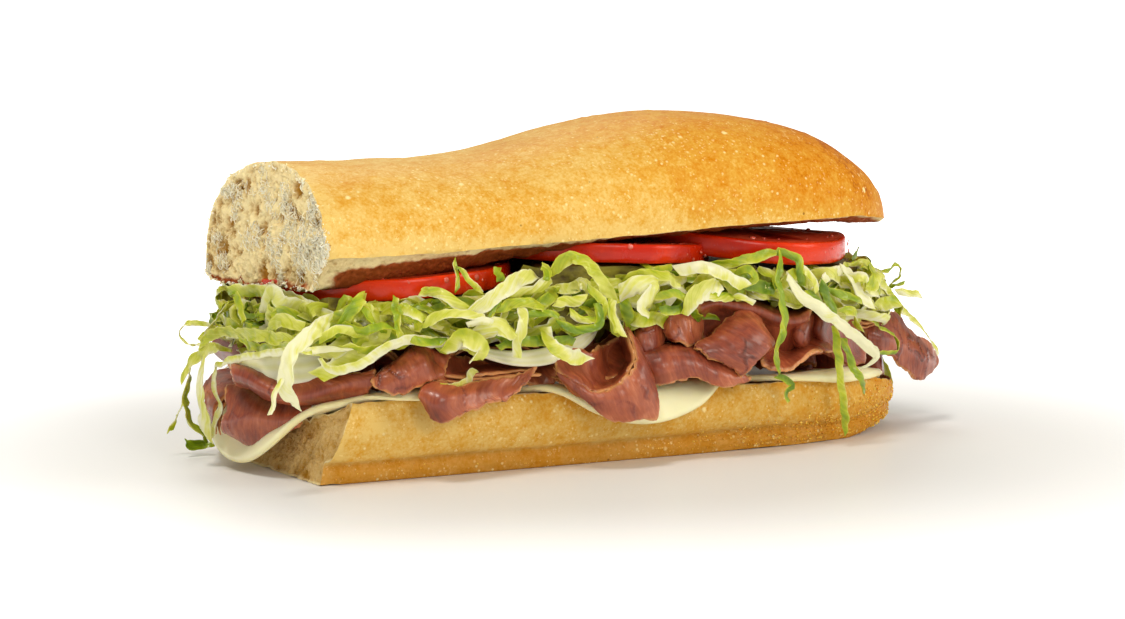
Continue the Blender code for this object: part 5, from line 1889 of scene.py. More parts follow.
@dataclass
class BeefSlices:
    """Folded slices of roast beef: the folds that hang out, and the parts that run through the sandwich."""

    leaf_thick: float = 1.0 * MM
    spread: float = 0.52 * MM
    ragged: float = 1.1 * MM
    ragged_width: float = 4 * MM
    rim_width: float = 0.8 * MM
    roll_radius: float = 3.3
    fold_width: float = 5.5
    fold_depth: float = 3.5
    inner_steps: tuple[int, int] = (60, 46)
    behind_steps: tuple[int, int] = (90, 24)
    shown_steps: tuple[int, int] = (96, 64)
    sharp: float = 75.0

    @staticmethod
    def run(
        front: Sequence[tuple[float, float]], back: Sequence[tuple[float, float]], ends: tuple[float, float]
    ) -> list[list[Knot]]:
        """Rows of a slice that runs through the sandwich.

        Args:
            front: Its fold line at the front, as (x, z) in millimetres.
            back: Its fold line at the back.
            ends: Y of its front and of its back.

        Returns:
            The rows of knots.
        """
        rows = []
        for t in (0.0, 0.12, 0.5, 0.88, 1.0):
            bow = 0.5 * math.sin(2 * math.pi * t)
            y = mix(ends[0], ends[1], t)
            rows.append([(mix(a[0], b[0], t), y, mix(a[1], b[1], t) - bow) for a, b in zip(front, back)])
        return rows

    def leaf(
        self, form: Form, rows: Sequence[Sequence[Knot]], side: float, seed: int, size: tuple[int, int]
    ) -> None:
        """Adds one leaf of a slice.

        Args:
            form: The piece that gets it.
            rows: Rows of knots in millimetres.
            side: On which side of the slice's middle it lies, from -1 to 1.
            seed: Which folds and border it gets.
            size: How many steps it has along and across its rows.
        """
        lines = np.array([smooth(np.array(row, float) * MM, size[0]) for row in rows])
        grid = smooth(lines, size[1]).transpose(1, 0, 2)
        grain = Grain(seed)
        over = np.cumsum(np.linalg.norm(np.diff(grid, axis=0, prepend=grid[:1]), axis=2), axis=0)
        down = np.cumsum(np.linalg.norm(np.diff(grid, axis=1, prepend=grid[:, :1]), axis=2), axis=1)
        left = np.minimum(np.minimum(over, over[-1:] - over), np.minimum(down, down[:, -1:] - down))
        normal = grid_normals(grid)
        way_over = unit(np.gradient(grid, axis=0))
        way_down = unit(np.gradient(grid, axis=1))
        tear = grain.wave(grid, 5 * MM, 3) + 0.4 * grain.wave(grid, 1.6 * MM, 2)
        near_ends = ease(1 - np.minimum(over, over[-1:] - over) / self.ragged_width)
        near_sides = ease(1 - np.minimum(down, down[:, -1:] - down) / self.ragged_width)
        pull_over = np.sign(over - 0.5 * over[-1:]) * near_ends
        pull_down = np.sign(down - 0.5 * down[:, -1:]) * near_sides
        grid = grid + way_over * (pull_over * tear * self.ragged)[..., None]
        grid = grid + way_down * (pull_down * tear * self.ragged)[..., None]
        swell = 0.7 * grain.wave(grid, 15 * MM, 2)
        crease = np.abs(grain.wave(grid, 8 * MM, 2))
        split = ease(1 - crease / 0.05) * ease(grain.wave(grid, 15 * MM) * 2)
        lying = np.stack([over, down * 0.3, np.zeros_like(over)], axis=-1)
        fibre = 0.12 * grain.wave(lying, 2.4 * MM, 3)
        lumps = 0.05 * grain.wave(grid, 2.6 * MM, 2)
        near = ease(1 - left / self.ragged_width)
        curl = 0.5 * near * grain.wave(grid, 6 * MM)
        out = self.spread * side + (swell * 0.45 - 0.3 * split + fibre + lumps + curl) * MM
        grid = grid + normal * out[..., None]
        # Painted shade: darker in the splits and along crease lines, lighter on the broad bulges; also
        # lighter within a few millimetres of the border.
        tone = 0.42 + 0.16 * swell + 0.08 * crease - 0.3 * split + 0.14 * near
        edge = ease(1 - left / ((0.9 + 0.5 * tear) * MM))
        thick = self.leaf_thick * (1 + 0.3 * (side == 0)) * (1 - 0.7 * ease(1 - left / self.rim_width))
        add_leaf(form, grid, thick, tone=tone, edge=edge, over=over, down=down)

    def plan(self) -> dict[str, list[list[Knot]]]:
        """The part of every slice that lies inside, as rows of knots in millimetres.

        Returns:
            The rows, by the slice's name.
        """
        turns = [math.radians(a) for a in (255, 195, 130, 70, 10, -50)]
        r = self.roll_radius
        rolled = [
            [(x + r * math.cos(a), y, z + r * math.sin(a)) for a in turns]
            for x, y, z in ((-88, -9, 28.5), (-90, 10, 26.5), (-88, 36, 27.5))
        ]
        return {
            "beef_end_fold": [
                [(-74, 2, 19), (-85, 3, 20.5), (-96, 5, 20), (-102, 6, 15), (-102.5, 6, 9)],
                [(-74, 14, 20), (-85, 14, 21), (-95, 14, 21), (-100.5, 13, 17.5), (-102, 12, 13)],
                [(-74, 28, 21), (-85, 28, 21.5), (-93, 27, 21), (-97.5, 25, 19), (-99, 23, 17)],
            ],
            "beef_end_roll": rolled,
            "beef_left_wing": self.run(
                [(-83, 27), (-78, 29), (-72.5, 31), (-68.5, 28), (-66.5, 24.5)],
                [(-83, 27), (-78, 28), (-73, 29), (-69, 27), (-66, 25)],
                (-29, 34),
            ),
            "beef_left_flap": [
                [(-63, -39, 25), (-58, -39.5, 24.6), (-51, -39, 24.6), (-44, -39, 25), (-36, -38, 25)],
                [(-63, -10, 25), (-58, -10, 25.5), (-51, -10, 26), (-44, -10, 26), (-36, -10, 26)],
                [(-63, 36, 26), (-58, 36, 26.5), (-51, 36, 27), (-44, 36, 27.5), (-36, 36, 27)],
            ],
            "beef_left_top": self.run(
                [(-62, 30), (-56, 29.5), (-50, 31.5), (-43, 30), (-37, 31.5), (-31, 29.5)],
                [(-62, 30), (-56, 31), (-50, 30), (-43, 31.5), (-37, 30.5), (-31, 29)],
                (-29, 36),
            ),
            "beef_middle_cup": [
                [(-29, -38, 22), (-22, -39, 22), (-14, -40, 22), (-7.5, -41, 24), (-4.5, -39, 27)],
                [(-29, -15, 25), (-22, -17, 25.5), (-15, -21, 27), (-10, -26, 30), (-7.5, -25, 31)],
            ],
            "beef_middle_flap": [
                [(0, -34, 26), (6, -34, 26.5), (15, -34, 26), (25, -34, 25)],
                [(-2, 10, 23.5), (6, 10, 24), (15, 10, 25), (25, 10, 24)],
                [(-2, 37, 25), (6, 37, 24), (15, 37, 25), (25, 37, 24.5)],
            ],
            "beef_middle_rolls": self.run(
                [(-4, 29), (-1.5, 33), (3, 35), (6, 31), (9, 34.5), (11.5, 34), (12.8, 29.5)],
                [(-4, 28), (-1, 31), (3, 32), (6, 29.5), (9, 32), (11.5, 31), (12.8, 28)],
                (-30, 35),
            ),
            "beef_fan": [
                [(18, -33, 30), (22, -33, 33), (27.5, -31, 34)],
                [(18, 0, 29), (22, 0, 31), (28, 0, 32)],
                [(18, 35, 28), (22, 35, 29), (28, 35, 28)],
            ],
            "beef_right_top": self.run(
                [(16, 39.2), (23, 39), (31, 38.4), (39, 36), (46, 36), (51, 37.5)],
                [(16, 36), (23, 35), (31, 36), (39, 34), (46, 36), (51, 35)],
                (-24, 34),
            ),
            "beef_right_boat": self.run(
                [(31, 30), (32.5, 27.5), (37, 25), (43, 22.8), (49, 24.5), (54, 28), (60, 26.5)],
                [(31.5, 30), (33, 26), (37, 24), (43, 24), (49, 25), (54, 27), (60, 25)],
                (-33, 33),
            ),
            "beef_right_inner": self.run(
                [(55, 32), (60, 30.5), (65, 33), (70, 29.5), (75, 31)],
                [(55, 31), (60, 33), (65, 30), (70, 32), (75, 29)],
                (-26, 26),
            ),
            "beef_tip_flap": [
                [(74, -13, 27), (84, -9, 28), (92, -7, 28.5), (99, -5, 24), (104, -4, 20)],
                [(75, 2, 26), (84, 4, 26.5), (91, 5, 26.5), (98, 5, 23), (103, 4, 18)],
                [(75, 20, 23), (83, 17, 22), (89, 15, 21), (94, 13, 19), (98, 11, 16)],
            ],
        }

    def fold_row(self, low_x: float, high_x: float, y: float, low: float, high: float) -> list[list[Knot]]:
        """Rows of the folds that close the view between the slices.

        Args:
            low_x: Where they start, in millimetres.
            high_x: Where they end.
            y: How far back they lie.
            low: Height of their lower border.
            high: Height of their upper border.

        Returns:
            The rows of knots.
        """
        steps = max(4, round((high_x - low_x) / self.fold_width))
        places = [(mix(low_x, high_x, k / steps), y + self.fold_depth * (-1) ** k) for k in range(steps + 1)]
        leans = (0, 0.5, 1)
        return [[(x + 1.5 * lean, at - 2 * lean, mix(high, low, lean)) for x, at in places] for lean in leans]

    def build(self) -> None:
        """Builds and dresses every slice."""
        coat = BeefFinish().dress("roast_beef")
        behind = {
            "beef_end_roll": (-97, -66, -12, 20, 30),
            "beef_left_top": (-68, -26, -18, 23, 33),
            "beef_middle_rolls": (-30, 20, -19, 23, 36),
            "beef_right_top": (18, 60, -16, 19, 37),
            "beef_right_inner": (52, 86, -11, 15, 33),
        }
        for number, (name, rows) in enumerate(self.plan().items()):
            form = Form()
            self.leaf(form, rows, 1.0, 60 + 2 * number, self.inner_steps)
            self.leaf(form, rows, -1.0, 61 + 2 * number, self.inner_steps)
            if name in behind:
                self.leaf(form, self.fold_row(*behind[name]), 0.0, 130 + number, self.behind_steps)
            for order, (owner, shown) in enumerate(SHOWN_BEEF):
                if owner == name:
                    self.leaf(form, shown, 0.0, 90 + order, self.shown_steps)
            place(form.piece(f"{name}_slice", [coat], self.sharp), Slot.BEEF, name)


@dataclass(frozen=True)
class Disc:
    """Where one tomato slice lies and how big it is, in millimetres."""

    name: str
    centre: Knot
    radius: float
    thick: float
    slopes: tuple[float, float]
    droop: float

    def rise(self, x: Array, y: Array) -> Array:
        """How far a place of it lies above its middle: it slopes, and its front edge hangs."""
        return self.slopes[0] * x + self.slopes[1] * y - self.droop * np.clip(-y / self.radius, 0, 1) ** 2


@dataclass
class TomatoSlices:
    """Round wet slices with skin on their rims, and the juice on them."""

    around: int = 220
    rings: int = 44
    beads_each: int = 70
    bead_sides: int = 12
    seed: int = 77

    def slice(self, form: Form, disc: Disc, seed: int) -> None:
        """Adds one slice.

        Args:
            form: The piece that gets it.
            disc: The slice.
            seed: Which pockets it has.
        """
        grain = Grain(seed)
        angle = np.arange(self.around) * 2 * math.pi / self.around
        uneven = 1 + 0.018 * np.sin(3 * angle + 1) + 0.012 * np.cos(5 * angle)
        flat = np.linspace(0.004, 0.965, self.rings)
        bend = np.array([(0.978, 0.5), (0.989, 0.49), (0.996, 0.43), (1.0, 0.3), (1.001, 0.0)])
        half = np.concatenate([np.stack([flat, np.full(self.rings, 0.5)], axis=1), bend])
        profile = np.concatenate([half * (1, -1), half[-2::-1]])
        share, level = profile[:, :1], profile[:, 1:]
        x = share * disc.radius * uneven * np.cos(angle)
        y = share * disc.radius * uneven * np.sin(angle)
        plain = np.stack([x, y, np.broadcast_to(level * disc.thick, x.shape)], axis=-1) * MM
        rim = ease((share - 0.94) / 0.03) * np.ones_like(x)
        lobes = 0.5 + 0.5 * np.cos(5 * angle + 1.3)[None] + 0.35 * grain.wave(plain, 9 * MM, 2)
        pocket = ease((lobes - 0.55) / 0.3) * ease((share - 0.3) / 0.12) * ease((0.84 - share) / 0.08)
        sunk = 0.5 * pocket + 0.12 * grain.wave(plain, 5 * MM, 2) * (1 - rim)
        wobble = 0.18 * grain.wave(plain, 15 * MM, 2)
        z = plain[..., 2] / MM - np.sign(level) * sunk * (1 - rim) + disc.rise(x, y) + wobble
        points = (np.array(disc.centre) + np.stack([x, y, z], axis=-1)) * MM
        side = grid_faces(len(profile), self.around, closed=True)[:, ::-1]
        form.add(points, [side, end_caps(len(profile), self.around)], rim=rim, pocket=pocket)

    def juice(self, form: Form, disc: Disc, rng: np.random.Generator) -> None:
        """Adds beads of juice to a slice's rim and top.

        Args:
            form: The piece that gets them.
            disc: The slice.
            rng: The random numbers.
        """
        count = self.beads_each
        angle = rng.uniform(0, 2 * math.pi, count)
        on_top = rng.random(count) < 0.45
        share = np.where(on_top, rng.uniform(0.82, 0.95, count), 1.0)
        x, y = share * disc.radius * np.cos(angle), share * disc.radius * np.sin(angle)
        level = np.where(on_top, 0.5, rng.uniform(-0.3, 0.38, count))
        z = level * disc.thick + disc.rise(x, y)
        sizes = rng.uniform(0.16, 0.5, count) * np.where(rng.random(count) < 0.12, 1.9, 1.0)
        out = np.stack([np.cos(angle), np.sin(angle), np.zeros(count)], axis=1)
        out = np.where(on_top[:, None], [[0.0, 0, 1]], out)
        middle = np.array(disc.centre) + np.stack([x, y, z], axis=1)
        self.beads(form, middle * MM, out, sizes * MM)

    def beads(self, form: Form, middles: Array, out: Array, sizes: Array) -> None:
        """Adds low domes.

        Args:
            form: The piece that gets them.
            middles: Where they sit.
            out: Which way each one faces.
            sizes: Their radii.
        """
        helper = np.where(np.abs(out[:, 2:3]) > 0.8, [[1.0, 0, 0]], [[0, 0, 1.0]])
        side = unit(np.cross(out, helper))
        up = np.cross(out, side)
        sides = self.bead_sides
        turn = np.linspace(0, 2 * math.pi, sides, endpoint=False)
        rings = ((1.0, -0.2), (0.92, 0.2), (0.7, 0.42), (0.38, 0.56), (0.05, 0.6))
        points = []
        for share, rise in rings:
            flat = side[:, None] * np.cos(turn)[None, :, None] + up[:, None] * np.sin(turn)[None, :, None]
            points.append(middles[:, None] + (flat * share + out[:, None] * rise) * sizes[:, None, None])
        points = np.stack(points, axis=1)
        parts = (grid_faces(len(rings), sides, closed=True), end_caps(len(rings), sides))
        starts = (np.arange(len(middles)) * sides * len(rings))[:, None, None]
        groups = [(part[None] + starts).reshape(-1, part.shape[1])[:, ::-1] for part in parts]
        form.add(points, groups)

    def build(self) -> None:
        """Builds and dresses the slices and their juice."""
        coat = TomatoFinish().dress("tomato")
        wet = WetFinish().dress("tomato_juice")
        rng = np.random.default_rng(self.seed)
        beads = Form()
        discs = (
            Disc("tomato_left", (-60.5, -3, 46.3), 32, 5.2, (0.045, -0.03), 0),
            Disc("tomato_middle", (-2.5, -3, 52.0), 33, 4.8, (-0.055, -0.02), 0),
            Disc("tomato_right", (40.5, -4, 53.0), 32.5, 5.6, (-0.07, -0.015), 2.6),
        )
        for number, disc in enumerate(discs):
            form = Form()
            self.slice(form, disc, 40 + number)
            self.juice(beads, disc, rng)
            place(form.piece(f"{disc.name}_slice", [coat]), Slot.TOMATO, disc.name)
        place(beads.piece("juice_beads", [wet]), Slot.TOMATO)


@dataclass(frozen=True)
class Arc:
    """One sliver: part of a ring, in millimetres and degrees. It climbs by rise and hangs by sag."""

    name: str
    centre: Knot
    radius: float
    degrees: tuple[float, float]
    tall: float
    rise: float
    sag: float
    thick: float = 1.9


@dataclass
class OnionSlivers:
    """Cut arcs of onion rings that lie on the beef."""

    steps: int = 90
    around: int = 20

    def sliver(self, form: Form, arc: Arc) -> None:
        """Adds one sliver.

        Args:
            form: The piece that gets it.
            arc: Where it lies and how big it is.
        """
        t = np.linspace(0, 1, self.steps)
        angle = np.radians(mix(arc.degrees[0], arc.degrees[1], t))
        out = np.stack([np.cos(angle), np.sin(angle), np.zeros_like(t)], axis=1)
        z = arc.rise * t - arc.sag * 4 * t * (1 - t) + 0.4 * np.sin(9 * t + arc.radius)
        middle = np.array(arc.centre) + arc.radius * out + z[:, None] * (0, 0, 1)
        lean = unit(np.stack([0.35 * out[:, 0], 0.35 * out[:, 1], -np.ones_like(t)], axis=1))
        up = unit(np.cross(np.cross(out, [0, 0, 1.0]), lean))
        turn = np.linspace(0, 2 * math.pi, self.around, endpoint=False)
        high = arc.tall * (0.12 + 0.88 * np.sin(math.pi * t) ** 0.7)
        wide = arc.thick * (0.35 + 0.65 * np.sin(math.pi * t) ** 0.5)
        across = np.sign(np.cos(turn)) * np.abs(np.cos(turn)) ** 0.8
        bow = 0.12 * (across**2)[None, :] * high[:, None]
        points = middle[:, None] + lean[:, None] * (0.5 * high[:, None] * across[None])[..., None]
        points = points + up[:, None] * (0.5 * wide[:, None] * np.sin(turn)[None] + bow)[..., None]
        side = grid_faces(self.steps, self.around, closed=True)
        spread = np.broadcast_to(across[None], (self.steps, self.around))
        form.add(points * MM, [side, end_caps(self.steps, self.around)], across=spread)

    def build(self) -> None:
        """Builds and dresses the slivers."""
        coat = OnionFinish().dress("onion")
        left = Arc("onion_left", (-76, -5, 27.5), 26, (170, 272), 8, 3.5, 1.5)
        middle = Arc("onion_middle", (-38, -6, 32), 33, (237, 320), 4.4, 3, 4.5)
        for arc in (left, middle):
            form = Form()
            self.sliver(form, arc)
            place(form.piece(f"{arc.name}_sliver", [coat]), Slot.ONION, arc.name)


@dataclass(frozen=True)
class Strip:
    """One shred of lettuce: where it runs, in millimetres, and how it is cut and curled."""

    knots: tuple[Knot, ...]
    width: float
    tone: float
    curl: float
    twist: float


# The strips that show: places, width, tone, curl and twist
SHOWING_STRIPS: tuple[Strip, ...] = (
    Strip(((-97, 12, 44), (-94, 0, 44.5), (-93.5, -12, 45), (-93, -28, 43), (-89.5, -36, 40.5)
           ), 3.4, 0.45, 0.3, 0.3),
    Strip(((-98.5, 4, 43.5), (-99, 0, 41), (-100, -4, 37.5)), 2.1, 0.55, 0.2, 0.2),
    Strip(((-92.5, 8, 42), (-97, 2, 39), (-96.5, -6, 39)), 1.3, 0.95, 0.2, 0.5),
    Strip(((-95.5, 14, 28.5), (-98.5, 22, 29), (-103, 26, 29.5), (-104.5, 27, 32.5),
           (-102.5, 26, 34.5), (-100, 20, 34.5), (-99.5, 10, 34)), 1.6, 0.35, 0.1, 0),
    Strip(((-98, 10, 41), (-100, 16, 35), (-101.5, 20, 30.5)), 2.9, 0.4, 0.4, 0.4),
    Strip(((-100, 14, 30), (-102.5, 24, 25), (-104.5, 26, 20.5)), 3.1, 0.45, 0.4, 0.3),
    Strip(((-102, 26, 23), (-103, 27, 14.5), (-101, 27, 8), (-97.5, 27, 3.5)), 3.6, 0.72, 0.3, 0.1),
    Strip(((-103, 26, 4), (-99.5, 27, 2.5), (-96, 26, 3.5)), 2.8, 0.85, 0.3, 0.3),
    Strip(((-103.5, 28, 13.5), (-104.5, 30, 9.5), (-106.5, 30, 6)), 1.6, 0.4, 0.2, 0.1),
    Strip(((-103.5, 6, 26), (-103, -10, 29.5), (-101.5, -30, 33), (-99.5, -38, 34), (-86.5, -40, 34)
           ), 1.8, 0.15, 0.3, 0.1),
    Strip(((-103, 6, 26), (-104, 6, 20.5), (-103, 4, 16), (-104.5, 8, 7.5)), 2.4, 0.2, 0.4, 0.4),
    Strip(((-91, -38, 42), (-100, -43, 38), (-105.5, -45, 33.5), (-107, -46, 26.5), (-104, -46, 21.5)
           ), 3.7, 0.12, 0.35, 0.25),
    Strip(((-106, -45, 30), (-109.5, -46, 26), (-111, -46, 20.5)), 1.3, 0.15, 0.2, 0.1),
    Strip(((-103, 16, 30.5), (-101.5, 8, 34), (-101.5, -14, 35.5), (-100, -34, 36)), 3.1, 0.5, 0.5, 0.4),
    Strip(((-100, -18, 34), (-100, -26, 40), (-97, -34, 39)), 3.1, 0.5, 0.5, 0.5),
    Strip(((-91.5, -40, 38), (-87, -41, 44), (-83, -38, 46)), 3.1, 0.7, 0.4, 0.3),
    Strip(((-84, -39, 44.5), (-83.5, -41, 42.5), (-82, -42, 39.5)), 2.6, 0.6, 0.4, 0.2),
    Strip(((-96.5, -42, 32.5), (-93.5, -45, 29.5), (-85.5, -46, 32), (-77.5, -45, 35.5),
           (-68, -43, 35), (-55.5, -40, 32.5)), 2.6, 0.1, 0.35, 0.1),
    Strip(((-96, -41, 36.5), (-92.5, -43, 39), (-84, -42, 37.5)), 2.1, 0.45, 0.4, 0.3),
    Strip(((-75, -38, 45.5), (-76, -42, 40.5), (-76, -43, 35.5)), 2.1, 0.65, 0.2, 0.2),
    Strip(((-74.5, -41, 44), (-70, -43, 40)), 2.6, 0.45, 0.5, 0.2),
    Strip(((-68, -38, 46), (-64.5, -38, 46.5), (-62, -40, 44.5)), 2.1, 0.4, 0.3, 0.2),
    Strip(((-101.5, -6, 33.5), (-101, -18, 32.5), (-100.5, -34, 34.5), (-97.5, -40, 34)
           ), 2.4, 0.55, 0.4, 0.5),
    Strip(((-90, -41, 40.5), (-86.5, -43, 38.5), (-80, -43, 39.5), (-75.5, -42, 37.5)), 2.1, 0.7, 0.4, 0.6),
    Strip(((-99.5, 8, 37.5), (-99, 2, 35.5), (-99.5, -8, 36.5)), 2.6, 0.6, 0.5, 0.5),
    Strip(((-91, -44, 35.5), (-86, -45, 34), (-79.5, -44, 34)), 2.1, 0.6, 0.4, 0.4),
    Strip(((-58.5, -38, 54), (-58.5, -39, 50), (-60, -40, 46)), 1.3, 0.6, 0.3, 0.2),
    Strip(((-58.5, -39, 52), (-55.5, -40, 49), (-52.5, -41, 45.5)), 1.6, 0.55, 0.3, 0.3),
    Strip(((-46, -37, 51.5), (-47, -40, 48)), 2.6, 0.75, 0.3, 0.2),
    Strip(((-36.5, -38, 49.5), (-44, -42, 48), (-51.5, -44, 44.5), (-58, -44, 41.5)), 3.9, 0.2, 0.45, 0.2),
    Strip(((-32.5, -39, 48), (-39, -42, 46), (-46.5, -43, 44.5)), 3.1, 0.35, 0.5, 0.3),
    Strip(((-67.5, -38, 46), (-63.5, -41, 46), (-60.5, -43, 43.5), (-56.5, -44, 40.5)
           ), 2.6, 0.35, 0.4, 0.2),
    Strip(((-34.5, -38, 51.5), (-34, -40, 50), (-35.5, -41, 48)), 2.4, 0.65, 0.3, 0.3),
    Strip(((-32.5, -38, 48), (-30.5, -40, 52), (-27, -42, 53), (-24, -43, 51.5), (-20, -43, 46.5),
           (-17, -42, 42.5)), 3.4, 0.5, 0.2, -0.1),
    Strip(((-33.5, -43, 42.5), (-25, -43, 43)), 2.6, 0.35, 0.6, 0.2),
    Strip(((-44, -44, 43), (-44, -46, 39.5), (-45.5, -46, 34), (-45.5, -45, 30)), 2.4, 0.3, 0.3, 0.1),
    Strip(((-55.5, -44, 35.5), (-51.5, -46, 38), (-46, -46, 36)), 4.7, 0.3, 0.7, 0.6),
    Strip(((-64.5, -44, 32.5), (-60.5, -46, 35.5), (-56, -47, 33), (-58, -47, 30)), 4.5, 0.4, 0.7, 0.6),
    Strip(((-36.5, -43, 37), (-36.5, -46, 32.5), (-31.5, -47, 29.5), (-26.5, -47, 29.5)
           ), 3.9, 0.3, 0.5, 0.3),
    Strip(((-33.5, -43, 38), (-30, -45, 36.5), (-25, -46, 35.5), (-22.5, -46, 38), (-22.5, -44, 42)
           ), 2.1, 0.85, 0.3, 0.3),
    Strip(((-17, -42, 43), (-18, -44, 39), (-16, -45, 33.5)), 2.9, 0.4, 0.4, 0.3),
    Strip(((-15, -42, 43.5), (-11, -45, 46), (-6.5, -46, 46), (-10, -46, 41), (-8.5, -46, 38)
           ), 4.7, 0.25, 0.7, 0.5),
    Strip(((-12.5, -40, 47), (-8, -43, 48.5), (-2, -44, 47.5), (2, -43, 45.5)), 2.9, 0.5, 0.5, 0.4),
    Strip(((-5.5, -43, 42.5), (0, -45, 43.5), (3.5, -45, 41.5)), 2.1, 0.6, 0.4, 0.3),
    Strip(((-3.5, -43, 39.5), (0, -44, 39), (4.5, -43, 40)), 2.4, 0.85, 0.4, 0.3),
    Strip(((-50, -43, 41.5), (-43, -45, 43.5), (-38, -45, 41.5)), 2.4, 0.6, 0.5, 0.4),
    Strip(((-74.5, -40, 44), (-73, -43, 42.5), (-70, -44, 40)), 2.6, 0.4, 0.4, 0.3),
    Strip(((-70, -43, 38.5), (-67, -45, 41), (-61.5, -45, 41.5), (-54, -45, 40)), 2.4, 0.35, 0.5, 0.3),
    Strip(((-59, -45, 38.5), (-55, -46, 39.5), (-50, -45, 38.5)), 1.8, 0.1, 0.3, 0.2),
    Strip(((-52.5, -44, 40), (-49, -43, 44)), 1.3, 0.75, 0.3, 0.1),
    Strip(((-44, -45, 39.5), (-38, -46, 41), (-33.5, -45, 39)), 1.8, 0.8, 0.3, 0.3),
    Strip(((-49.5, -43, 32.5), (-40, -44, 33.5), (-28.5, -43, 32.5)), 2.6, 0.8, 0.4, 0.3),
    Strip(((-65.5, -43, 24), (-59.5, -42, 23.5), (-53, -38, 26.5)), 2.4, 0.3, 0.3, 0.2),
    Strip(((-75, -44, 37), (-70.5, -45, 35), (-64, -44, 35.5)), 2.1, 0.75, 0.5, 0.5),
    Strip(((-30, -44, 40), (-26.5, -45, 38), (-20.5, -44, 38.5)), 1.8, 0.5, 0.4, 0.4),
    Strip(((-24, -42, 46), (-21, -44, 42.5), (-20, -44, 38)), 2.1, 0.55, 0.4, 0.3),
    Strip(((-4, -34, 50.5), (-1.5, -37, 49), (4, -36, 49.5)), 2.1, 0.6, 0.3, 0.3),
    Strip(((12.5, -38, 49), (21.5, -40, 50), (34, -38, 52)), 2.6, 0.6, 0.4, 0.3),
    Strip(((34, -38, 52), (39, -40, 50.5), (39.5, -41, 47), (40.5, -41, 43)), 2.1, 0.8, 0.3, 0.2),
    Strip(((3, -40, 48.5), (8, -42, 49.5), (14.5, -44, 47.5), (21, -44, 44)), 3.1, 0.2, 0.4, 0.2),
    Strip(((3, -44, 38), (5.5, -45, 42.5), (14.5, -43, 44.5)), 5.0, 0.25, 0.5, 0.3),
    Strip(((20, -40, 47), (22.5, -42, 48), (24.5, -43, 46), (23, -42, 44.5)), 2.1, 0.6, 0.4, 0.3),
    Strip(((22.5, -40, 45), (27.5, -41, 43.5), (33, -41, 43)), 3.4, 0.95, 0.5, 0.3),
    Strip(((34.5, -40, 51.5), (31, -44, 44.5), (32, -46, 35.5), (29.5, -46, 27.5), (31.5, -44, 21)
           ), 2.1, 0.75, 0.2, 0.3),
    Strip(((31, -44, 20.5), (33.5, -44, 19.5), (35.5, -44, 17.5), (33.5, -44, 16.5), (34.5, -44, 13.5)
           ), 1.6, 0.85, 0.2, 0.5),
    Strip(((35, -42, 46), (37.5, -44, 41.5), (44.5, -46, 36), (54.5, -45, 29.5), (63, -42, 23.5),
           (58, -42, 20.5)), 3.1, 0.03, 0.3, 0.1),
    Strip(((40, -40, 48), (42, -43, 45.5), (43, -44, 41.5)), 2.1, 0.25, 0.4, 0.3),
    Strip(((50, -42, 32.5), (50, -43, 26), (51.5, -43, 16), (54.5, -41, 3.5)), 2.1, 0.6, 0.2, 0.1),
    Strip(((52, -43, 29), (54.5, -44, 21.5), (60, -42, 14.5)), 2.1, 0.75, 0.2, 0.2),
    Strip(((45, -42, 43.5), (47.5, -43, 39), (50, -43, 34)), 2.4, 0.9, 0.4, 0.4),
    Strip(((51.5, -43, 36), (54.5, -43, 35.5), (57, -42, 31.5)), 3.1, 0.55, 0.7, 0.7),
    Strip(((48, -42, 41.5), (53, -42, 40), (59.5, -40, 38.5)), 2.1, 0.75, 0.4, 0.4),
    Strip(((56, -36, 47.5), (58.5, -38, 43), (63, -39, 35.5)), 2.9, 0.08, 0.3, 0.1),
    Strip(((61, -30, 47), (69.5, -28, 46), (80, -24, 38), (87, -20, 32.5), (95, -18, 27),
           (101, -17, 19.5)), 2.4, 0.35, 0.4, 0.1),
    Strip(((46.5, -40, 44), (50, -39, 45.5), (56, -36, 46)), 2.6, 0.1, 0.3, 0.1),
    Strip(((72.5, -26, 33.5), (77, -26, 35), (82, -25, 35.5), (83, -24, 32)), 3.7, 0.5, 0.5, 0.4),
    Strip(((89, -14, 37), (93, -14, 36.5), (97.5, -14, 35.5)), 2.1, 0.2, 0.3, 0.1),
    Strip(((85.5, -8, 43), (90, -8, 42), (94.5, -6, 43.5), (95.5, -6, 40), (92.5, -6, 37.5),
           (97.5, -6, 38.5)), 1.3, 0.6, 0.3, 0.4),
    Strip(((61, -34, 35), (69.5, -31, 31.5), (78, -28, 27), (80, -28, 23.5), (76, -29, 22),
           (70.5, -31, 23)), 1.3, 0.7, 0.2, 0.3),
    Strip(((71, -22, 50.5), (67.5, -24, 47)), 2.1, 0.85, 0.3, 0.2),
    Strip(((100.5, 10, 16), (104, 10, 7.5), (98.5, 8, -1)), 2.6, 0.6, 0.3, 0.3),
    Strip(((18, -43, 42), (21, -44, 41), (24, -43, 39.5)), 1.6, 0.2, 0.3, 0.2),
    Strip(((29, -38, 48), (31.5, -40, 46), (32, -41, 42.5)), 2.4, 0.5, 0.5, 0.4),
    Strip(((8, -43, 44), (12, -44, 42), (18, -43, 41.5)), 2.4, 0.5, 0.5, 0.5),
    Strip(((40.5, -43, 42), (43, -44, 39), (45.5, -43, 36)), 2.1, 0.65, 0.5, 0.5),
    Strip(((59, -36, 40.5), (64.5, -35, 38.5), (69.5, -33, 35.5)), 2.4, 0.35, 0.4, 0.4),
    Strip(((-106, 7.3, 27), (-107, 7.5, 21), (-106.5, 7, 15), (-105, 7.5, 8)), 5.2, 0.1, 0.3, 0.2),
)


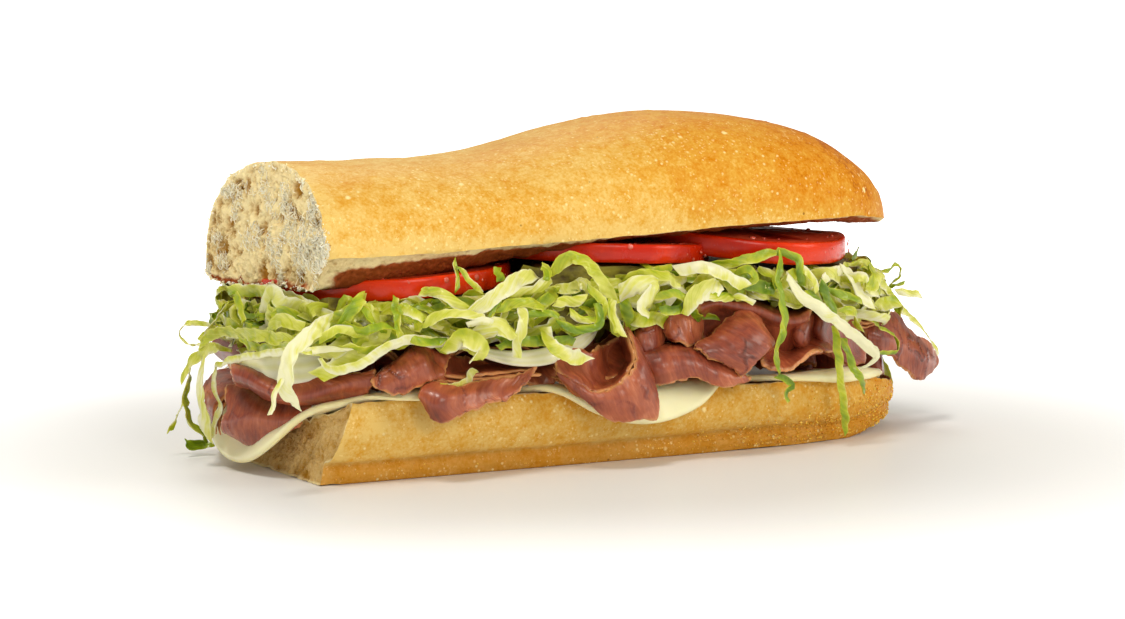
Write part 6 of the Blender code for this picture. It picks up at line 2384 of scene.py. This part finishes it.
@dataclass
class LettuceHeap:
    """The heap of shredded lettuce: a core whose dark colours paint the shade inside it, the strips that
    show, and random ones all round.
    """

    left: float = -90 * MM
    round: float = 48 * MM
    tip: float = 32 * MM
    half: float = 33 * MM
    low: float = 27 * MM
    top: float = 51 * MM
    strips_top: float = 46.5 * MM
    count: int = 290
    seed: int = 5
    turns: tuple[float, float, float] = (0.36, 0.56, 0.86)
    gap: float = 0.7 * MM
    core_size: tuple[int, int] = (46, 18)
    axis_ends: tuple[float, float] = (-70 * MM, 50 * MM)
    axis_height: float = 36 * MM
    strip_step: float = 0.7 * MM
    above_table: float = 0.6 * MM
    loose_fine: float = 0.65
    inner_share: float = 0.45
    sharp: float = 42.0

    def __post_init__(self) -> None:
        """Prepares the searches of the food above and below the heap, and its folds."""
        self.grain = Grain(self.seed + 1)
        self.below = self._tree("bottom_roll", "cheese", "beef", "onion")
        self.above = self._tree("tomato", "top_roll")
        self.others = self._tree("bottom_roll", "cheese", "beef", "onion", "tomato", "top_roll")

    @staticmethod
    def _tree(*starts: str) -> BVHTree:
        """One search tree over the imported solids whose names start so.

        Args:
            *starts: How the names start.

        Returns:
            The tree.
        """
        points: list[Vector] = []
        faces: list[list[int]] = []
        for name, solid in sorted(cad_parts.items()):
            if name.startswith(starts):
                base = len(points)
                points += [vertex.co.copy() for vertex in solid.data.vertices]
                faces += [[base + v for v in face.vertices] for face in solid.data.polygons]
        return BVHTree.FromPolygons(points, faces)

    def edge(self, s: float) -> tuple[Array, Array]:
        """A point and the outward direction on the heap's outline in plan.

        Args:
            s: How far round the outline, from 0 to 1.

        Returns:
            The point and the direction.
        """
        front, tip, back = self.turns
        if s < front:
            return np.array([mix(self.left, self.round, s / front), -self.half, 0]), np.array([0, -1.0, 0])
        if s < tip:
            angle = mix(-0.5, 0.5, (s - front) / (tip - front)) * math.pi
            out = np.array([math.cos(angle), math.sin(angle), 0])
            return np.array([self.round + self.tip * out[0], self.half * out[1], 0]), out
        if s < back:
            x = mix(self.round, self.left, (s - tip) / (back - tip))
            return np.array([x, self.half, 0]), np.array([0, 1.0, 0])
        y = mix(self.half, -self.half, (s - back) / (1 - back))
        return np.array([self.left, y, 0]), np.array([-1.0, 0, 0])

    def room(self, x: float, y: float, reach: tuple[float, float]) -> tuple[float, float]:
        """The free height between the filling and the tomatoes near a place in plan.

        Args:
            x: The place along the sandwich.
            y: The place across it.
            reach: How far round it is searched, along and across.

        Returns:
            The lowest and the highest free height.
        """
        low, high = 0.0, self.top
        for i, j in product((-1, -0.5, 0, 0.5, 1), repeat=2):
            at = Vector((x + i * reach[0], y + j * reach[1], 0))
            hit = self.below.ray_cast(at + Vector((0, 0, 0.2)), Vector((0, 0, -1)))[0]
            low = max(low, hit.z if hit else 0.0)
            hit = self.above.ray_cast(at - Vector((0, 0, 0.01)), Vector((0, 0, 1)))[0]
            high = min(high, hit.z if hit else self.top)
        return max(low + self.gap, self.low), high - self.gap

    def core(self, form: Form) -> None:
        """Adds the inside of the heap, whose dark colours paint its shade.

        Args:
            form: The piece that gets it.
        """
        rows, columns = self.core_size
        right = self.round + self.tip
        x = np.linspace(self.left, right, rows)
        over = np.maximum(0.0, (x - self.round) / self.tip)
        half = self.half * np.maximum(0.3, np.sqrt(np.maximum(0.0, 1 - over * over)))
        y = np.linspace(-1, 1, columns)[None] * half[:, None]
        low, high = np.zeros(y.shape), np.zeros(y.shape)
        for i, j in product(range(rows), range(columns)):
            low[i, j], high[i, j] = self.room(x[i], y[i, j], (3.5 * MM, 4 * MM))
        between = ease((x + 62 * MM) / (12 * MM)) * ease((36 * MM - x) / (12 * MM))
        high = np.minimum(high, mix(45.5 * MM, self.top, between)[:, None])
        tight = high < low + 0.8 * MM
        middle = 0.5 * (low + high)
        low = np.where(tight, middle - 0.2 * MM, low)
        high = np.where(tight, middle + 0.2 * MM, high)
        grid = np.stack([np.broadcast_to(x[:, None], y.shape), y, 0.5 * (low + high)], axis=-1)
        grain = Grain(self.seed)
        bumps = 1 + 0.14 * grain.wave(grid, 6 * MM, 2)
        half_up = (0.5 * (high - low) * bumps)[..., None] * np.array([0, 0, 1.0])
        both = np.stack([grid + half_up, grid - half_up])
        add_shell(form, both[0], both[1], 1, run=both[..., 0], across=both[..., 2])

    def ribbon(self, form: Form | None, strip: Strip, rng: np.random.Generator, fine: float = 1.0) -> Array:
        """Adds one strip, or only works out its surface.

        Args:
            form: The piece that gets it, or None.
            strip: The strip.
            rng: The random numbers.
            fine: How fine its mesh is.

        Returns:
            Its middle surface, steps by columns.
        """
        knots = np.array(strip.knots) * MM
        long = np.linalg.norm(np.diff(knots, axis=0), axis=1).sum()
        steps = int(np.clip(long / self.strip_step, 12, 60) * fine)
        columns = 9 if fine > 0.9 else 6
        line = even_line(knots, steps)
        t = np.linspace(0, 1, steps + 1)
        places = np.stack([t * long + rng.uniform(0, 1), 0 * t, 0 * t], axis=1)
        kinks = [self.grain.wave(places + 0.1 * k, 5 * MM, 2) for k in range(3)]
        line = line + np.stack(kinks, axis=1) * 0.55 * MM
        way = unit(np.gradient(line, axis=0))
        middle = np.full((steps + 1, 3), (0, 0, self.axis_height))
        middle[:, 0] = np.clip(line[:, 0], *self.axis_ends)
        out = line - middle
        out[:, 2] *= 0.4
        side = unit(np.cross(way, unit(out)))
        up = np.cross(side, way)
        sway = self.grain.wave(places + 0.4, 9 * MM, 2)
        angle = strip.twist * (t - 0.3) * 1.7 + rng.normal(0, 0.2) + 0.5 * sway
        side, up = (
            side * np.cos(angle)[:, None] + up * np.sin(angle)[:, None],
            up * np.cos(angle)[:, None] - side * np.sin(angle)[:, None],
        )
        ends = rng.uniform(0.3, 1.1, 2)
        taper = mix(ends[0], 1.0, ease(t / 0.16)) * mix(ends[1], 1.0, ease((1 - t) / 0.16))
        wide = strip.width * MM * taper * (1 + 0.14 * self.grain.wave(places + 0.7, 4 * MM, 2))
        u = np.linspace(-1, 1, columns)
        jag = [1 + 0.12 * self.grain.wave(places + 0.2 * k, 1.5 * MM, 2) for k in (1, 2)]
        reach = np.where(u[None] < 0, jag[0][:, None], jag[1][:, None]) * u[None]
        stiff = min(1.0, strip.tone * 2.2)
        cup = 0.4 * strip.curl * rng.choice((-1, 1)) * (u[None] ** 2 - 0.35)
        across = 0.5 * wide[:, None] * reach
        spread = np.full(reach.shape + (3,), rng.uniform(0, 1))
        spread[..., 0] = places[:, :1]
        spread[..., 1] = across
        ruffle = 0.6 * self.grain.wave(spread, (4.2 * MM, 3 * MM, 1)) * (0.25 + np.abs(u[None]) ** 1.5)
        crinkle = 0.35 * self.grain.wave(spread + 0.3, 1.9 * MM, 2)
        folds = 1.0 * (0.2 - np.abs(self.grain.wave(spread + 0.6, (3.4 * MM, 2.6 * MM, 1))))
        slant = rng.uniform(-0.5, 0.5, 2)
        tilt = (slant[0] * ease(1 - t / 0.12) + slant[1] * ease((t - 0.88) / 0.12))[:, None] * u[None]
        grid = line[:, None] + side[:, None] * across[..., None]
        grid = grid + way[:, None] * (tilt * strip.width * MM)[..., None]
        keel = 0.5 * (1 - stiff) * np.exp(-((u[None] / 0.4) ** 2)) * 0.4
        creases = (ruffle + crinkle + folds) * mix(0.25, 1.0, stiff) * MM * 0.75
        lift = 0.5 * wide[:, None] * (cup + keel) + creases
        grid = grid + up[:, None] * lift[..., None]
        grid[..., 2] = np.maximum(grid[..., 2], self.above_table)
        if form is not None:
            thick = (0.26 + 1.1 * max(0.0, 0.3 - strip.tone)) * MM * (1 - 0.5 * np.abs(u[None]) ** 3)
            fade = strip.tone + 0.3 * rng.uniform(-1, 1) * (t[:, None] - 0.5)
            fade = fade + 0.25 * rng.uniform(-1, 1) * u[None]
            # Each strip is painted lighter right at its edges: a painted highlight.
            fade = fade + 0.12 * ruffle - 0.2 * np.abs(u[None]) ** 5
            run = (t * long)[:, None] + rng.uniform(0, 1)
            lean = rng.uniform(-3, 3)
            add_leaf(form, grid, thick, tone=fade, across=0.5 * wide[:, None] * u[None], run=run, lean=lean)
        return grid

    def is_clear(self, grid: Array) -> bool:
        """Whether a strip's surface crosses no neighbour.

        Args:
            grid: The strip's middle surface.

        Returns:
            True if it is clear.
        """
        pick = [0, grid.shape[1] // 2, grid.shape[1] - 1]
        points = grid[::4, pick].reshape(-1, 3)
        faces = grid_faces(len(grid[::4]), 3).tolist()
        return not self.others.overlap(BVHTree.FromPolygons([Vector(p) for p in points], faces))

    def random_strip(self, rng: np.random.Generator, depth: float) -> Strip:
        """A strip that runs along the heap's side and dips back, stands up or hangs.

        Args:
            rng: The random numbers.
            depth: 0 for the inner layer, 1 for the outer one.

        Returns:
            The strip.
        """
        start = rng.random()
        span = rng.uniform(0.02, 0.07) * rng.choice((-1, 1))
        base, out = self.edge(start)
        low, high = self.room(base[0], base[1], (4 * MM, 4 * MM))
        high = min(high, self.strips_top)
        height = mix(low, high, rng.uniform(0.05, 1.0))
        droop = rng.choice((0, 0, 0, 2, 4, 8)) * MM * depth
        knots = [base - out * 4 * MM + np.array([0, 0, height])]
        for t in (0.25, 0.5, 0.75, 1.0):
            base, out = self.edge((start + span * t) % 1.0)
            bulge = (rng.uniform(-1, 2.5) if depth < 0.5 else rng.uniform(1, 8)) * MM
            if t == 1.0:
                bulge -= 2.5 * MM
            z = height + rng.uniform(-4.5, 4.5) * MM - droop * t * t
            z = np.clip(z, low - 9 * MM * depth, high - 0.5 * MM)
            knots.append(base + out * bulge + np.array([0, 0, z]))
        tone = float(np.clip(rng.normal(0.5, 0.17), 0.04, 0.95))
        places = tuple(tuple(knot / MM) for knot in knots)
        return Strip(places, rng.uniform(1.8, 4.4), tone, rng.uniform(0.2, 0.8), rng.uniform(-1, 1))

    def build(self) -> None:
        """Builds and dresses the heap."""
        rng = np.random.default_rng(self.seed)
        leaf = LettuceFinish().dress("lettuce")
        inner = HeapShadeFinish().dress("lettuce_shade")
        heap = Form()
        self.core(heap)
        for strip in SHOWING_STRIPS:
            self.ribbon(heap, strip, rng)
        place(heap.piece("lettuce_heap", [leaf, inner], self.sharp), Slot.LETTUCE, "lettuce")
        loose = Form()
        made = 0
        for _ in range(self.count * 4):
            if made == self.count:
                break
            strip = self.random_strip(rng, 0.0 if made < self.count * self.inner_share else 1.0)
            state = rng.bit_generator.state
            if self.is_clear(self.ribbon(None, strip, rng, self.loose_fine)):
                rng.bit_generator.state = state
                self.ribbon(loose, strip, rng, self.loose_fine)
                made += 1
        place(loose.piece("lettuce_shreds", [leaf], self.sharp), Slot.LETTUCE)


@dataclass
class Studio:
    """A pale floor, soft light and the camera."""

    azimuth: float = -29.0
    elevation: float = 6.0
    distance: float = 0.787
    target: Knot = (-7.7 * MM, 0.0, 35.6 * MM)
    lens: float = 96.0
    floor_height: float = -0.05 * MM
    floor_sides: int = 64

    def floor(self) -> None:
        """Adds the pale floor, which glows white far away."""
        coat = Coat("pale_floor")
        away = coat.node("ShaderNodeVectorMath", {"operation": "LENGTH"}, {0: coat.place})
        far = Num(coat, away.outputs["Value"])
        cloud = coat.noise(0.5, 2.0)
        surface = coat.surface(
            {
                "Base Color": coat.tint(cloud, (0.86, 0.875, 0.9), (0.88, 0.895, 0.92)),
                "Roughness": 0.4,
                "Specular IOR Level": 0.3,
                "Emission Color": coat.tint(far.step(0.09, 0.32), (0, 0, 0), (1, 1, 1)),
                "Emission Strength": 1.0,
            }
        )
        radius = np.concatenate([np.linspace(0.01, 0.5, 12), np.geomspace(0.6, 70.0, 14)])
        sides = self.floor_sides
        angle = np.linspace(0, 2 * math.pi, sides, endpoint=False)
        x = radius[:, None] * np.cos(angle)
        y = radius[:, None] * np.sin(angle)
        form = Form()
        points = np.stack([x, y, np.full(x.shape, self.floor_height)], axis=-1)
        form.add(points, [grid_faces(len(radius), sides, closed=True), np.arange(sides)[None]])
        floor = form.piece("floor", [surface])

    def sky(self) -> None:
        """Makes the surroundings white."""
        world = bpy.data.worlds.new("white_studio")
        world.use_nodes = True
        back = world.node_tree.nodes["Background"]
        back.inputs["Color"].default_value = (1, 0.95, 0.86, 1)
        back.inputs["Strength"].default_value = 0.42
        bpy.context.scene.world = world

    def lamp(self, name: str, place_at: Knot, size: float, power: float, colour: Colour = (1, 1, 1)) -> None:
        """Adds one soft lamp that faces the sandwich.

        Args:
            name: Its name.
            place_at: Where it hangs, in metres.
            size: Its width in metres.
            power: How bright it is, in watts.
            colour: Its colour.
        """
        data = bpy.data.lights.new(name, "AREA")
        data.shape = "DISK"
        data.size = size
        data.energy = power
        data.color = colour
        lamp = bpy.data.objects.new(name, data)
        lamp.location = place_at
        lamp.rotation_euler = (Vector(self.target) - Vector(place_at)).to_track_quat("-Z", "Y").to_euler()
        bpy.context.scene.collection.objects.link(lamp)

    def camera(self) -> None:
        """Adds the camera at the photograph's angle."""
        data = bpy.data.cameras.new("camera")
        data.sensor_width = 36.0
        data.sensor_fit = "HORIZONTAL"
        data.lens = self.lens
        data.clip_end = 100.0
        camera = bpy.data.objects.new("camera", data)
        a, e = math.radians(self.azimuth), math.radians(self.elevation)
        back = Vector((math.sin(a) * math.cos(e), -math.cos(a) * math.cos(e), math.sin(e)))
        camera.location = Vector(self.target) + back * self.distance
        camera.rotation_euler = back.to_track_quat("Z", "Y").to_euler()
        bpy.context.scene.collection.objects.link(camera)
        bpy.context.scene.camera = camera

    def build(self) -> None:
        """Sets up the whole studio."""
        self.floor()
        self.sky()
        self.lamp("key", (-0.55, -0.4, 1.35), 0.38, 9.25, (1.0, 0.95, 0.85))
        self.lamp("front", (-0.05, -1.3, 0.7), 0.5, 4.5, (1.0, 0.955, 0.87))
        self.lamp("right", (0.95, -0.75, 0.5), 0.5, 3.45, (1.0, 0.94, 0.84))
        self.lamp("back", (0.35, 1.0, 0.95), 0.6, 4.4, (1.0, 0.97, 0.9))
        self.camera()
        bpy.context.scene.view_settings.view_transform = "Standard"


def main() -> None:
    """Builds the sandwich and its studio."""
    logging.basicConfig(level=logging.INFO, format="%(message)s")
    CheeseSlices(Loaf().build()).build()
    BeefSlices().build()
    OnionSlivers().build()
    TomatoSlices().build()
    LettuceHeap().build()
    Studio().build()


if __name__ == "__main__":
    main()
